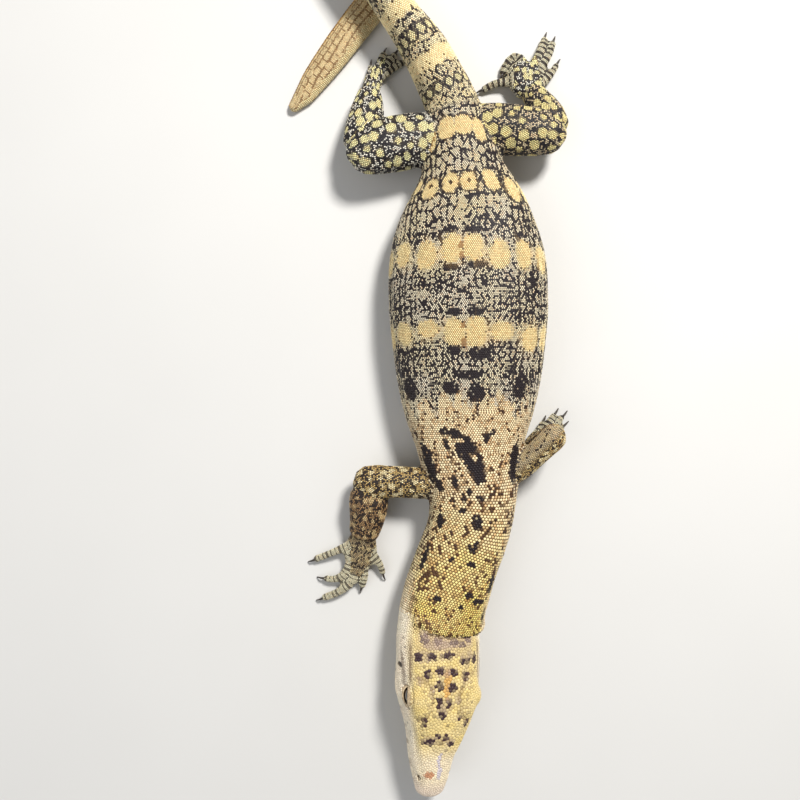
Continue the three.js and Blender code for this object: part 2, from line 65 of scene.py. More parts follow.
# Floor and light
# A plain pale studio floor. One soft lamp stands high over the tail, to the animal's left, and a wide dim
# one fills the shadows from the other side.
class Signal:
    """One output of a material's node, on which sums can be written."""

    def __init__(self, finish, socket):
        self.finish = finish
        self.socket = socket

    def _sum(self, operation, first, second):
        return self.finish.node("ShaderNodeMath", {"operation": operation}, {0: first, 1: second})

    def __add__(self, other):
        return self._sum("ADD", self, other)

    def __radd__(self, other):
        return self._sum("ADD", other, self)

    def __mul__(self, other):
        return self._sum("MULTIPLY", self, other)

    def __rmul__(self, other):
        return self._sum("MULTIPLY", other, self)


class Finish:
    """A material: every node is made by one method, and the shader's own sockets are set by another."""

    def __init__(self, name):
        self.material = bpy.data.materials.new(name)
        self.material.use_nodes = True
        self.tree = self.material.node_tree
        self.shader = self.tree.nodes["Principled BSDF"]

    def feed(self, socket, value):
        if isinstance(value, Signal):
            self.tree.links.new(value.socket, socket)
        else:
            socket.default_value = value

    def node(self, kind, settings, inputs, output=0):
        made = self.tree.nodes.new(kind)
        for key, value in settings.items():
            setattr(made, key, value)
        for key, value in inputs.items():
            self.feed(made.inputs[key], value)
        return Signal(self, made.outputs[output])

    def grain(self, size):
        """Soft random grain, given by the size of its patches in millimetres."""
        place = self.node("ShaderNodeTexCoord", {}, {}, "Object")
        return self.node("ShaderNodeTexNoise", {}, {"Vector": place, "Scale": METRE / size, "Detail": 2.0})

    def painted(self):
        """The colour that is laid on the piece itself, corner by corner."""
        return self.node("ShaderNodeAttribute", {"attribute_name": "markings"}, {}, "Color")

    def mix(self, share, first, second):
        return self.node("ShaderNodeMix", {"data_type": "RGBA"}, {0: share, 6: first, 7: second}, 2)

    def bump(self, height, strength, distance):
        return self.node(
            "ShaderNodeBump", {}, {"Height": height, "Strength": strength, "Distance": distance / METRE}
        )

    def shade(self, values):
        for key, value in values.items():
            self.feed(self.shader.inputs[key], value)
        return self.material


def tint(code):
    """A colour written as six hex digits, as the light it sends back."""
    parts = [int(code[k : k + 2], 16) / 255 for k in (0, 2, 4)]
    return np.array([part / 12.92 if part <= 0.04045 else ((part + 0.055) / 1.055) ** 2.4 for part in parts])


def keep(piece):
    bpy.context.scene.collection.objects.link(piece)
    return piece


def cast(name, shape):
    """A piece made of a finished shape."""
    mesh = bpy.data.meshes.new(name)
    shape.to_mesh(mesh)
    shape.free()
    return keep(bpy.data.objects.new(name, mesh))


FLOOR_HALF = 2.0  # in metres
floor_shape = bmesh.new()
bmesh.ops.create_grid(floor_shape, x_segments=1, y_segments=1, size=FLOOR_HALF)
floor = cast("floor", floor_shape)
paper = Finish("floor_paper")
floor.data.materials.append(paper.shade({
    "Base Color": paper.mix(paper.grain(60), (0.60, 0.59, 0.57, 1), (0.64, 0.63, 0.61, 1)),
    "Roughness": 0.85,
}))

for lamp_name, place, width, power, colour in (
    ("key_lamp", (0.22, 0.30, 0.52), 0.12, 5.9, (1.0, 0.985, 0.955)),
    ("fill_lamp", (-0.45, -0.25, 0.55), 0.60, 1.75, (0.95, 0.97, 1.0)),
):
    lamp_data = bpy.data.lights.new(lamp_name, "AREA")
    lamp_data.size = width
    lamp_data.energy = power
    lamp_data.color = colour
    lamp = keep(bpy.data.objects.new(lamp_name, lamp_data))
    lamp.location = place
    lamp.rotation_euler = (Vector((0, -0.02, 0)) - Vector(place)).to_track_quat("-Z", "Y").to_euler()

studio = bpy.data.worlds.new("studio")
studio.use_nodes = True
studio.node_tree.nodes["Background"].inputs["Color"].default_value = (0.95, 0.97, 1.0, 1)
studio.node_tree.nodes["Background"].inputs["Strength"].default_value = 0.30
bpy.context.scene.world = studio
bpy.context.scene.view_settings.view_transform = "Standard"


# Lines of the body, the legs and the toes
# Every row of scales lies across one of these lines. They follow the backbone and the bones of the limbs,
# and repeat the stations of the solids: x, y, height, then on the body half width, rise, drop and lean.
def unit(values):
    """The values, held between nought and one."""
    return np.clip(values, 0, 1)


def straight(ways):
    """The same ways, each one unit long."""
    return ways / np.linalg.norm(ways, axis=1)[:, None]


def tree_of(spots, numbers=None):
    """A tree that finds the nearest of the given places, each known by its number."""
    tree = KDTree(len(spots))
    for number, spot in zip(range(len(spots)) if numbers is None else numbers, spots):
        tree.insert(spot, int(number))
    tree.balance()
    return tree


SAMPLE = 0.25  # between the places at which a line is read when the nearest one is sought


class Course:
    """A smooth line through stations, read at any distance along it."""

    def __init__(self, rows):
        self.rows = np.array([list(row) + [1, 1, 1, 0][len(row) - 3 :] for row in rows], float)
        self.rows[:, :2] += ORIGIN
        steps = np.linalg.norm(np.diff(self.rows[:, :3], axis=0), axis=1)
        self.reach = np.concatenate([[0], np.cumsum(steps)])
        self.length = self.reach[-1]
        steps = steps[:, None]
        chord = np.diff(self.rows, axis=0) / steps
        self.slope = np.concatenate([chord[:1], chord])
        self.slope[1:-1] = (chord[:-1] * steps[1:] + chord[1:] * steps[:-1]) / (steps[1:] + steps[:-1])
        self.samples = np.arange(0, self.length + SAMPLE, SAMPLE)
        self.tree = tree_of(self.read(self.samples)[:, :3])

    def read(self, along):
        k = np.clip(np.searchsorted(self.reach, along, side="right") - 1, 0, len(self.reach) - 2)
        span = (self.reach[k + 1] - self.reach[k])[:, None]
        t = ((along - self.reach[k])[:, None] / span)
        past = (t - unit(t)) * span
        t = unit(t)
        eased = (
            (2 * t**3 - 3 * t**2 + 1) * self.rows[k]
            + (t**3 - 2 * t**2 + t) * span * self.slope[k]
            + (3 * t**2 - 2 * t**3) * self.rows[k + 1]
            + (t**3 - t**2) * span * self.slope[k + 1]
        )
        eased[:, :3] += (past * np.where(t > 0.5, self.slope[k + 1], self.slope[k]))[:, :3]
        return eased

    def frames(self, along):
        """Middles, the ways ahead, to the left and to the crest, and the sizes of the sections."""
        rows = self.read(along)
        ahead = straight(self.read(along + 0.05)[:, :3] - self.read(along - 0.05)[:, :3])
        side = straight(np.cross(ahead, [0, 0, 1]))
        top = np.cross(side, ahead)
        lean = np.radians(rows[:, 6])[:, None]
        side, top = side * np.cos(lean) - top * np.sin(lean), top * np.cos(lean) + side * np.sin(lean)
        return rows[:, :3], ahead, side, top, rows[:, 3:6]

    def point(self, along, across, up):
        middle, _, side, top, _ = self.frames(np.atleast_1d(float(along)))
        return middle[0] + side[0] * across + top[0] * up

    def locate(self, points, low=-1e9, high=1e9):
        """How far along each point lies, and how many degrees round from the crest, positive on the left."""
        tree = self.tree
        if low > -1e9 or high < 1e9:
            chosen = np.nonzero((self.samples >= low) & (self.samples <= high))[0]
            tree = tree_of(self.read(self.samples[chosen])[:, :3], chosen)
        nearest = np.array([tree.find(point)[1] for point in points])
        along = self.samples[nearest]
        middle, _, side, top, sizes = self.frames(along)
        offset = points - middle
        across = (offset * side).sum(1) / sizes[:, 0]
        up = (offset * top).sum(1)
        up = up / np.where(up > 0, sizes[:, 1], sizes[:, 2])
        return along, np.degrees(np.arctan2(across, up))


STATIONS = {
    "snout_tip": (8.35, -113.6, 8.8, 3.4, 2.7, 1.9, 16),
    "nostrils": (8.6, -107.4, 9.1, 5.0, 5.2, 3.0, 16),
    "mid_snout": (8.75, -100.0, 9.6, 6.6, 6.8, 3.8, 16),
    "front_of_eyes": (9.75, -92.9, 9.9, 8.6, 8.4, 4.9, 16),
    "eyes": (10.3, -86.6, 10.0, 10.7, 9.5, 5.9, 16),
    "cheeks": (10.7, -79.6, 10.0, 11.9, 9.7, 6.7, 16),
    "ears": (10.7, -73.0, 10.0, 12.0, 9.4, 7.1, 16),
    "nape": (10.8, -66.0, 9.8, 12.0, 9.4, 7.7, 14),
    "upper_neck": (12.8, -57.0, 9.4, 12.3, 9.7, 8.8, 8),
    "mid_neck": (16.1, -46.5, 9.4, 11.9, 9.9, 9.4, 2),
    "lower_neck": (19.7, -36.5, 9.5, 11.9, 10.3, 9.8, -1),
    "shoulders": (20.8, -26.0, 9.8, 12.7, 10.8, 10.2, -3),
    "back_of_arms": (20.0, -14.5, 10.0, 15.0, 11.7, 10.5, -5),
    "chest": (19.5, -1.0, 10.4, 19.2, 12.9, 11.0, -8),
    "ribs": (19.4, 14.0, 10.9, 21.6, 14.4, 11.5, -8),
    "belly": (19.2, 30.0, 11.0, 22.8, 15.2, 11.6, -8),
    "flank": (18.8, 44.5, 10.9, 21.4, 14.4, 11.5, -8),
    "loin": (18.7, 56.5, 10.1, 17.0, 12.5, 10.5, -8),
    "waist": (18.0, 65.0, 9.4, 12.4, 10.7, 9.5, -8),
    "hips": (16.7, 75.0, 8.6, 9.5, 9.2, 8.5, -6),
    "vent": (14.9, 84.9, 8.2, 7.9, 8.1, 7.9, -4),
    "behind_vent": (11.5, 92.0, 8.8, 7.3, 7.7, 7.5, -2),
    "first_band": (7.1, 100.0, 9.9, 6.8, 7.2, 6.9, 0),
    "rising": (1.9, 106.9, 11.2, 5.9, 6.7, 6.3, 0),
    "crossing": (-6.9, 117.9, 12.4, 4.8, 6.2, 5.8, 2),
}
LOOP_RADIUS = 27
LOOP_LEG = 37.7
for k in range(9):
    turned = math.radians(180 + LOOP_LEG - (180 + 2 * LOOP_LEG) * k / 8)
    lean = 6 + 78 * (k / 8) ** 1.3
    slim = 4.5 - 1.6 * k / 8
    tall = 5.9 - 0.8 * k / 8
    STATIONS[f"loop_{k + 1}"] = (
        -6.9 + LOOP_RADIUS * math.cos(turned),
        117.9 + LOOP_RADIUS / math.sin(math.radians(LOOP_LEG)) + LOOP_RADIUS * 1.02 * math.sin(turned),
        math.hypot(tall * math.cos(math.radians(lean)), slim * math.sin(math.radians(lean))) - 0.25,
        slim, tall, tall - 0.2, lean,
    )
STATIONS |= {
    "under": (-6.9, 117.9, 2.5, 2.7, 5.0, 4.9, 90),
    "flat": (-14.3, 108.4, 2.4, 2.6, 5.0, 4.8, 90),
    "taper": (-20.8, 99.9, 2.2, 2.4, 4.5, 4.4, 90),
    "narrow": (-25.6, 93.7, 2.0, 2.2, 3.7, 3.8, 90),
    "last": (-29.2, 89.0, 1.8, 2.0, 2.4, 3.0, 90),
    "knob": (-31.2, 86.6, 1.6, 1.7, 1.7, 1.7, 90),
    "tip": (-32.6, 85.6, 1.5, 1.6, 1.5, 1.5, 90),
}
body = Course(STATIONS.values())
along_body = dict(zip(STATIONS, body.reach))

LIMBS = {
    "foreleg_right_upper": [(14.0, -24.2, 10.2), (5.0, -23.7, 10.0), (-2.0, -23.4, 9.6), (-9.0, -23.8, 9.0),
                            (-13.6, -24.9, 8.8)],
    "foreleg_right_lower": [(-9.2, -23.2, 8.8), (-9.0, -29.0, 8.0), (-9.5, -34.5, 6.6), (-11.0, -40.4, 4.4)],
    "foreleg_left_upper": [(25.0, -24.0, 11.0), (33.6, -19.5, 12.8), (39.4, -13.9, 15.0),
                           (45.4, -7.9, 16.6)],
    "foreleg_left_lower": [(45.0, -8.4, 14.6), (42.6, -10.8, 10.4), (38.6, -14.6, 5.0)],
    "hindleg_right_upper": [(15.0, 75.4, 8.8), (5.0, 74.4, 9.6), (-3.4, 72.6, 10.4), (-10.4, 70.8, 10.8),
                            (-15.6, 70.0, 10.8)],
    "hindleg_right_lower": [(-10.9, 70.6, 10.8), (-10.3, 77.4, 9.4), (-9.4, 83.8, 7.4), (-8.7, 90.6, 5.0)],
    "hindleg_left_upper": [(18.0, 78.4, 8.8), (27.0, 77.6, 9.6), (35.4, 76.6, 10.4), (43.4, 75.6, 10.8),
                           (47.6, 75.2, 10.8)],
    "hindleg_left_lower": [(43.8, 75.6, 10.8), (42.7, 81.2, 9.2), (40.4, 85.8, 7.0), (38.0, 90.2, 5.0)],
}
PALMS = {
    "hand_right": [(-10.8, -39.0, 4.4), (-11.5, -44.4, 3.2), (-12.2, -49.2, 2.7)],
    "hand_left": [(37.2, -15.8, 4.0), (40.4, -12.8, 3.3), (43.4, -9.9, 2.7)],
    "foot_right": [(-8.8, 89.4, 4.6), (-7.6, 94.2, 3.6), (-6.4, 98.0, 2.8)],
    "foot_left": [(38.2, 88.6, 4.8), (37.2, 93.8, 3.7), (38.0, 99.2, 2.9)],
}
TOES = {
    "hand_right": [
        [(-9.2, -44.0, 2.8), (-6.2, -47.6, 2.8), (-4.9, -51.8, 1.2)],
        [(-10.8, -46.8, 2.8), (-10.4, -51.4, 2.9), (-11.4, -55.6, 1.2)],
        [(-12.6, -47.8, 2.8), (-14.1, -53.2, 3.0), (-18.0, -56.4, 2.4), (-23.2, -58.7, 1.2)],
        [(-14.2, -46.4, 2.8), (-16.3, -51.0, 2.9), (-19.4, -52.8, 2.2), (-22.8, -52.6, 1.2)],
        [(-14.6, -42.6, 3.0), (-19.8, -44.8, 2.8), (-25.6, -47.3, 1.2)],
    ],
    "hand_left": [
        [(42.4, -12.6, 2.6), (44.6, -11.8, 2.4), (46.6, -10.6, 1.1)],
        [(43.2, -11.4, 2.7), (46.0, -9.4, 2.6), (48.6, -7.4, 1.1)],
        [(43.0, -10.2, 2.7), (45.6, -7.4, 2.7), (48.4, -4.5, 1.1)],
        [(42.0, -9.6, 2.7), (43.8, -6.6, 2.6), (45.9, -3.9, 1.1)],
        [(40.8, -10.8, 2.6), (41.2, -8.4, 2.4), (42.4, -6.2, 1.1)],
    ],
    "foot_right": [
        [(-8.0, 93.8, 2.4), (-8.8, 96.4, 2.2), (-8.6, 99.2, 1.1)],
        [(-6.8, 96.2, 2.8), (-5.8, 99.6, 2.7), (-4.6, 102.8, 1.2)],
        [(-5.8, 96.4, 2.7), (-3.2, 99.6, 2.6), (-1.0, 102.8, 1.1)],
        [(-5.4, 95.0, 2.6), (-1.6, 98.0, 2.2), (2.4, 100.6, 1.1)],
        [(-8.2, 92.6, 2.5), (-9.4, 89.6, 1.9), (-9.2, 86.2, 1.1)],
    ],
    "foot_left": [
        [(41.6, 92.6, 2.6), (44.6, 96.2, 2.5), (46.6, 99.6, 1.1)],
        [(40.6, 96.6, 2.8), (43.6, 101.2, 2.9), (45.4, 106.2, 1.1)],
        [(39.2, 98.0, 2.8), (41.3, 102.8, 3.0), (42.9, 107.4, 1.1)],
        [(37.0, 98.2, 2.8), (34.2, 101.2, 3.0), (31.4, 99.2, 2.3), (30.0, 95.6, 1.1)],
        [(33.0, 93.4, 2.8), (28.4, 93.2, 2.6), (23.9, 91.4, 1.2)],
    ],
}
courses = {name: Course(rows) for name, rows in LIMBS.items()}
for foot, rows in PALMS.items():
    courses[f"{foot}_palm"] = Course(rows)
for foot, toes in TOES.items():
    for k, rows in enumerate(toes):
        courses[f"{foot}_toe_{k + 1}"] = Course(rows)


# Skin
# One unbroken hide over all the flesh. The solids are swollen until their thin gaps close, fused, smoothed,
# and drawn in again by the depth of the scales.
SWELL = 0.30
SCALE_DEPTH = 0.15
SKIN_GRAIN = 0.40
SKIN_FACES = 186000
flesh = [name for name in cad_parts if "eye" not in name and "claw" not in name]

fused = bmesh.new()
for name in flesh:
    lump = bmesh.new()
    lump.from_mesh(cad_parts[name].data)
    bmesh.ops.remove_doubles(lump, verts=lump.verts, dist=1e-6)
    lump.normal_update()
    for vertex in lump.verts:
        vertex.co += vertex.normal * SWELL / METRE
    swollen = bpy.data.meshes.new("swollen")
    lump.to_mesh(swollen)
    lump.free()
    fused.from_mesh(swollen)
    bpy.data.meshes.remove(swollen)
skin = cast("skin", fused)


def settle(piece):
    """Works a piece's modifiers into its mesh."""
    worked = bpy.data.meshes.new_from_object(piece.evaluated_get(bpy.context.evaluated_depsgraph_get()))
    piece.modifiers.clear()
    old = piece.data
    piece.data = worked
    bpy.data.meshes.remove(old)
    worked.name = piece.name


def read_vectors(items, field, kind=np.float32):
    """One field of many items, three values to a row."""
    values = np.empty(3 * len(items), kind)
    items.foreach_get(field, values)
    values = values.reshape(-1, 3)
    return values.astype(float) if kind == np.float32 else values


remesh = skin.modifiers.new("fuse", "REMESH")
remesh.mode = "VOXEL"
remesh.voxel_size = SKIN_GRAIN / METRE
smooth = skin.modifiers.new("smooth", "SMOOTH")
smooth.factor = 0.5
smooth.iterations = 10
settle(skin)
points = read_vectors(skin.data.vertices, "co") * METRE
normals = read_vectors(skin.data.vertices, "normal")
points -= normals * (SWELL + SCALE_DEPTH)
skin.data.vertices.foreach_set("co", (points / METRE).astype(np.float32).ravel())
thin = skin.modifiers.new("thin", "DECIMATE")
thin.ratio = SKIN_FACES / (2 * len(skin.data.polygons))
settle(skin)
skin.data.shade_smooth()
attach(skin, "root")
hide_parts(*flesh)


# Which length of the body a patch of skin belongs to
# The hide is one piece, but its scales and colours change from the head to the tail and out to the toes.
# Each face is told apart by the nearest solid, and on a hand or foot by the nearest toe.
LENGTHS = {
    "head": ("snout_tip", "nape"),
    "lower_jaw": ("snout_tip", "nape"),
    "neck": ("nape", "lower_neck"),
    "shoulders": ("lower_neck", "chest"),
    "trunk_front": ("chest", "belly"),
    "trunk_rear": ("belly", "waist"),
    "hips": ("waist", "vent"),
    "tail_root": ("vent", "rising"),
    "tail_arch": ("rising", "loop_1"),
    "tail_loop_1": ("loop_1", "loop_3"),
    "tail_loop_2": ("loop_3", "loop_5"),
    "tail_loop_3": ("loop_5", "loop_7"),
    "tail_loop_4": ("loop_7", "loop_9"),
    "tail_return": ("loop_9", "flat"),
    "tail_end": ("flat", "tip"),
}
parts = list(LENGTHS) + list(courses)
part_number = {name: k for k, name in enumerate(parts)}


def nearest_solids(wanted):
    """A tree of the solids' faces, and for each face the number of its solid."""
    corners, faces, owners = [], [], []
    for k, name in enumerate(wanted):
        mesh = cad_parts[name].data
        mesh.calc_loop_triangles()
        corners.append(read_vectors(mesh.vertices, "co") * METRE)
        start = sum(len(part) for part in corners[:-1])
        faces.append(read_vectors(mesh.loop_triangles, "vertices", np.int32) + start)
        owners += [k] * len(mesh.loop_triangles)
    return BVHTree.FromPolygons(np.vstack(corners).tolist(), np.vstack(faces).tolist()), owners


solid_tree, solid_owner = nearest_solids(flesh)
PALM_RADIUS, TOE_RADIUS = 2.4, 1.0


def part_at(points):
    """The number of the length of body that each point lies on."""
    found = np.empty(len(points), int)
    for k, point in enumerate(points):
        name = flesh[solid_owner[solid_tree.find_nearest(point)[2]]]
        if name in TOES:
            near = courses[f"{name}_palm"].tree.find(point)[2] - PALM_RADIUS
            best = f"{name}_palm"
            for toe in range(1, 6):
                far = courses[f"{name}_toe_{toe}"].tree.find(point)[2] - TOE_RADIUS
                if far < near:
                    near, best = far, f"{name}_toe_{toe}"
            name = best
        found[k] = part_number[name]
    return found


def place_on_body(points, numbers):
    """How far along its own length, and how many degrees round from the crest, each point lies."""
    along, round_from_crest = np.zeros(len(points)), np.zeros(len(points))
    for number in np.unique(numbers):
        name = parts[number]
        chosen = numbers == number
        if name in LENGTHS:
            low, high = (along_body[station] for station in LENGTHS[name])
            along[chosen], round_from_crest[chosen] = body.locate(points[chosen], low - 2, high + 2)
        else:
            along[chosen], round_from_crest[chosen] = courses[name].locate(points[chosen])
    return along, round_from_crest


# Folds of the hide
# The skin of the neck rides over the back of the head in one deep fold, with two shallow ones behind it. The
# mouth is a fine line between the lips, the nostrils and the ears are pits, and creases run along the
# flanks.
def hill(x, middle, spread):
    """One at the middle, falling softly to nought on both sides."""
    return np.exp(-(((x - middle) / spread) ** 2))


MOUTH_CORNER = 33.4


def mouth_height(along):
    """Height of the line of the mouth above the widest line of the head."""
    share = unit(along / MOUTH_CORNER)
    return -0.2 - 0.9 * np.sin(np.pi * share * 0.9) + 0.9 * hill(share, 0.75, 0.16) - 0.8 * share**6


EYE_BACK, EYE_ASIDE, EYE_UP = 31.4, 7.45, 4.2
EYE_RADIUS = 3.4
EYE_SIDES = {"eye_right": -1, "eye_left": 1}
eyes = {name: body.point(EYE_BACK, side * EYE_ASIDE, EYE_UP) for name, side in EYE_SIDES.items()}
skin_corners = read_vectors(skin.data.vertices, "co") * METRE


def on_skin(spot):
    return skin_corners[((skin_corners - spot) ** 2).sum(1).argmin()].copy()


# each pit has a middle, half its width, and its height as a share of its width: nostrils first, then ears
pits = [(on_skin(body.point(7.4, side * 4.9, 3.5)), 0.80, 0.75) for side in (-1, 1)]
pits += [(on_skin(body.point(39.7, side * 12.0, 1.7)), 1.10, 1.55) for side in (-1, 1)]


def pit_reach(spots, middle, tall):
    """How far each place is from the middle of a pit, measured in the width of the pit."""
    offset = spots - middle
    return np.sqrt(offset[:, 0] ** 2 + offset[:, 1] ** 2 + (offset[:, 2] / tall) ** 2)


def fold_of_nape(round_from_crest):
    return 48.3 + 1.9 * (np.minimum(np.abs(round_from_crest - 4), 70) / 55) ** 2


DOME_TURNS = (-40, 37)  # degrees round from the crest, over the right eye and the left
FOLD_RISE, FOLD_DEPTH, LIP_DEPTH = 0.90, 1.05, 0.35
DOME_RISE, RIM_DEPTH = 0.75, 0.34
PIT_DEPTH, PIT_RIM, CREASE_DEPTH = 1.15, 0.16, 0.30


def dome_reach(along, turned, angle):
    """Squared distance from the middle of the dome over an eye, one at its rim."""
    return ((along - 31.5) / 5.8) ** 2 + ((turned - angle) / 18) ** 2


def flank_fold(along, across):
    """Nought along the lengthwise creases of the flanks, and one half midway between two of them."""
    lane = across / 2.1 + 0.42 * np.sin(along / 9 + np.sign(across)) + 0.16 * np.sin(along / 3.7)
    return np.abs(lane - np.round(lane))


def carve(points, normals):
    """Moves the points of the skin in and out along its normals, into folds, domes, ridges and pits."""
    near = (points[:, 1] < STATIONS["mid_neck"][1] + ORIGIN[1]) & (points[:, 0] > -2)
    along, turned = body.locate(points[near], 0, 66)
    middle, _, _, top, _ = body.frames(along)
    up = ((points[near] - middle) * top).sum(1)
    past, aside = along - fold_of_nape(turned), np.abs(turned)
    fade = unit((100 - aside) / 30)
    swell = fade * np.where(past > 0, FOLD_RISE * hill(past, 1.2, 2.2), 0)
    swell -= fade * FOLD_DEPTH * hill(past, 0, 0.60)
    swell -= fade * 0.25 * hill(past, -1.6, 1.6)
    lips = unit((MOUTH_CORNER + 1 - along) / 2) * (aside > 60)
    swell -= lips * LIP_DEPTH * hill(up - mouth_height(along), 0, 0.28)
    for angle in DOME_TURNS:
        dome = dome_reach(along, turned, angle)
        swell += DOME_RISE * unit(1 - dome) ** 0.8
        inner = unit(1 - aside / abs(angle) + 0.25) > 0
        swell -= RIM_DEPTH * hill(np.sqrt(dome), 1.06, 0.10) * inner
    ridge = 34 + 1.2 * (along - 12)
    ridge_fade = unit((along - 8) / 4) * unit((27 - along) / 4)
    for side in (-1, 1):
        swell += 0.22 * ridge_fade * hill(side * turned, ridge, 5)
        swell -= 0.20 * ridge_fade * hill(side * turned, ridge + 15, 8)
    later_folds = ((0.10, -3.6, 1.0), (-0.22, 3.2, 0.45), (-0.24, 5.6, 0.45))
    swell += sum(height * hill(past, place, spread) * fade for height, place, spread in later_folds)
    for middle, wide, tall in pits:
        away = pit_reach(points[near], middle, tall)
        swell -= PIT_DEPTH * np.exp(-((away / wide) ** 4)) - PIT_RIM * hill(away, wide * 1.45, wide * 0.3)
    points[near] += normals[near] * swell[:, None]
    trunk = (points[:, 1] > body.point(112, 0, 0)[1]) & (points[:, 1] < body.point(188, 0, 0)[1])
    trunk &= np.abs(points[:, 0] - body.point(150, 0, 0)[0]) < 24
    along, turned = body.locate(points[trunk], 106, 194)
    sizes = body.read(along)[:, 3:6]
    crease = hill(flank_fold(along, turned * (sizes[:, 0] + sizes[:, 1]) * math.pi / 360), 0, 0.11)
    crease *= hill(np.abs(turned), 78, 24) * unit((along - 112) / 8) * unit((188 - along) / 8)
    points[trunk] -= normals[trunk] * (CREASE_DEPTH * crease)[:, None]


# Markings
# The hide of the young animal is cream and yellow over purple-black, with bands of yellow blotches across
# the back and eye spots on the tail and legs. Scales and skin take their colours from the same rules. Each
# mark in a table has its place along the body, its turn from the crest, and half its length and width.
def hashed(a, b, seed):
    return np.modf(np.abs(np.sin(a * 127.1 + b * 311.7 + seed * 74.7) * 43758.5453))[0]


def blend(share, first, second):
    return first * (1 - share) + second * share


def choose(share, first, second):
    """A blend of two colours, or of two lists of them, by one share for each place."""
    return blend(share[:, None], first, second)


def mottle(x, y, seed):
    """Soft patches about one unit across, from nought to one."""
    left, low = np.floor(x), np.floor(y)
    right, high = x - left, y - low
    right, high = right * right * (3 - 2 * right), high * high * (3 - 2 * high)
    below = blend(right, hashed(left, low, seed), hashed(left + 1, low, seed))
    above = blend(right, hashed(left, low + 1, seed), hashed(left + 1, low + 1, seed))
    return blend(high, below, above)


def neighbours(x, y, seed, stray):
    """Distances to the scattered points of the nine nearest unit squares, with each square's own numbers."""
    for right in (-1, 0, 1):
        for high in (-1, 0, 1):
            a, b = np.floor(x) + right, np.floor(y) + high
            off_x = a + 0.5 + stray * (hashed(a, b, seed) - 0.5) - x
            off_y = b + 0.5 + stray * (hashed(a, b, seed + 1) - 0.5) - y
            yield np.hypot(off_x, off_y), a, b


def cells(x, y, seed, stray=0.6):
    """Distance to the nearest of many points, one in each unit square, and that point's own number."""
    best, number = np.full(np.shape(x), 9.0), np.zeros(np.shape(x))
    for away, a, b in neighbours(x, y, seed, stray):
        number = np.where(away < best, hashed(a, b, seed + 2), number)
        best = np.minimum(best, away)
    return best, number


def net(x, y, seed, stray=0.8):
    """How far each place is from the meshes of an irregular net whose holes are about one unit across."""
    first, second = np.full(np.shape(x), 9.0), np.full(np.shape(x), 9.0)
    for away, _, _ in neighbours(x, y, seed, stray):
        second = np.minimum(np.maximum(first, away), second)
        first = np.minimum(first, away)
    return second - first


def inside(along, turned, spots):
    """How far inside the nearest rounded spot each place is: one at its middle, nought at its rim."""
    best = np.full(np.shape(along), -9.0)
    for middle, angle, half_length, half_angle in spots:
        away = np.abs((along - middle) / half_length) ** 2.4 + np.abs((turned - angle) / half_angle) ** 2.4
        best = np.maximum(best, 1 - away)
    return best


CREAM = tint("EDDFB8")
PALE = tint("EEE3CC")
BLOTCH = tint("FAE6AC")
NAPE_YELLOW = tint("F2DE74")
SHOULDER = tint("FDE9BC")
PURPLE = tint("160C12")
RUST = tint("96602F")

YELLOW_BLOTCHES = [
    (191, -18, 3.22, 16.5), (191.2, 12, 3.02, 16.5), (188.8, -47, 3.22, 9.9), (189.5, 39, 3.74, 12.1),
    (189, 74, 3.33, 15.4), (188, -82, 3.12, 15.4), (174, -12, 2.91, 8.25), (174, 6.5, 2.7, 8.25),
    (173.2, -34, 3.12, 9.35), (175.5, -58, 1.98, 8.8), (174, 30, 3.02, 8.25), (172, 54, 3.33, 9.9),
    (172, 78, 3.12, 9.9), (173, -82, 3.12, 9.9), (156, -8.2, 3.74, 7.48), (155.8, 7, 3.64, 7.48),
    (154.5, -27, 3.64, 7.7), (155.5, -50, 3.12, 8.25), (153.8, 26, 3.74, 7.7), (154, 46, 3.95, 7.15),
    (153, 68, 3.74, 8.8), (154, -74, 3.33, 9.9), (133.5, -7.5, 3.85, 7.15), (133.5, 8, 4.06, 7.48),
    (134.8, -27, 2.29, 8.8), (133.5, -51, 3.12, 9.35), (133.8, 27, 2.39, 8.8), (131.8, 53, 3.22, 8.8),
    (132, 76, 3.33, 9.9), (133, -76, 3.33, 9.9),
]
DARK_BARS = [
    (160.8, -9, 0.9, 6), (160.5, 8, 0.9, 6.5), (151.0, -9.5, 1.0, 6), (151.4, 9, 1.1, 6.5),
    (139.0, -7, 1.1, 5), (139.0, 8, 1.2, 6), (129.0, -8, 1.2, 5.5), (128.2, 9, 1.6, 6),
    (119.0, -11, 1.7, 6.5), (117.2, 9, 2.3, 7), (119.2, 47, 3.6, 6), (118.8, -51, 3.2, 8),
    (122.5, 2, 1.2, 10), (174.2, -34, 0.6, 2.4), (174.1, -12, 0.55, 2.2), (174.1, 7, 0.55, 2.2),
    (102.6, -6, 3.6, 9), (100.0, 0, 4.4, 8.5), (97.0, 6, 4.2, 8.5), (94.6, 8, 2.4, 8),
    (106.5, -13, 1.6, 6), (107.2, -22, 1.1, 5), (103.5, -23, 1.6, 2.6), (105.2, 18, 1.5, 3.2),
    (106.6, 24, 0.9, 3), (93.0, -22, 2.0, 4), (84.8, -15, 0.9, 4.5), (81.8, 6, 2.2, 7), (74.5, 7, 1.0, 9),
    (76.2, 11, 0.9, 4), (69.8, -13, 1.0, 4), (70.2, 14, 0.8, 8), (98.0, -54, 6.4, 9), (97.0, 57, 5.8, 9),
    (92, -45, 2.2, 6), (80.0, -47, 3.2, 5.5), (67.0, -56, 3.6, 5), (88.2, -13, 1.6, 2.6),
    (90.4, -6, 1.2, 3), (88.5, 7, 1.0, 5), (61.5, 22, 0.9, 8), (60.2, 40, 0.9, 12), (58.5, -20, 0.8, 6),
    (66, 62, 3, 7), (56, 60, 2.5, 7), (57.5, 14, 0.8, 4),
]
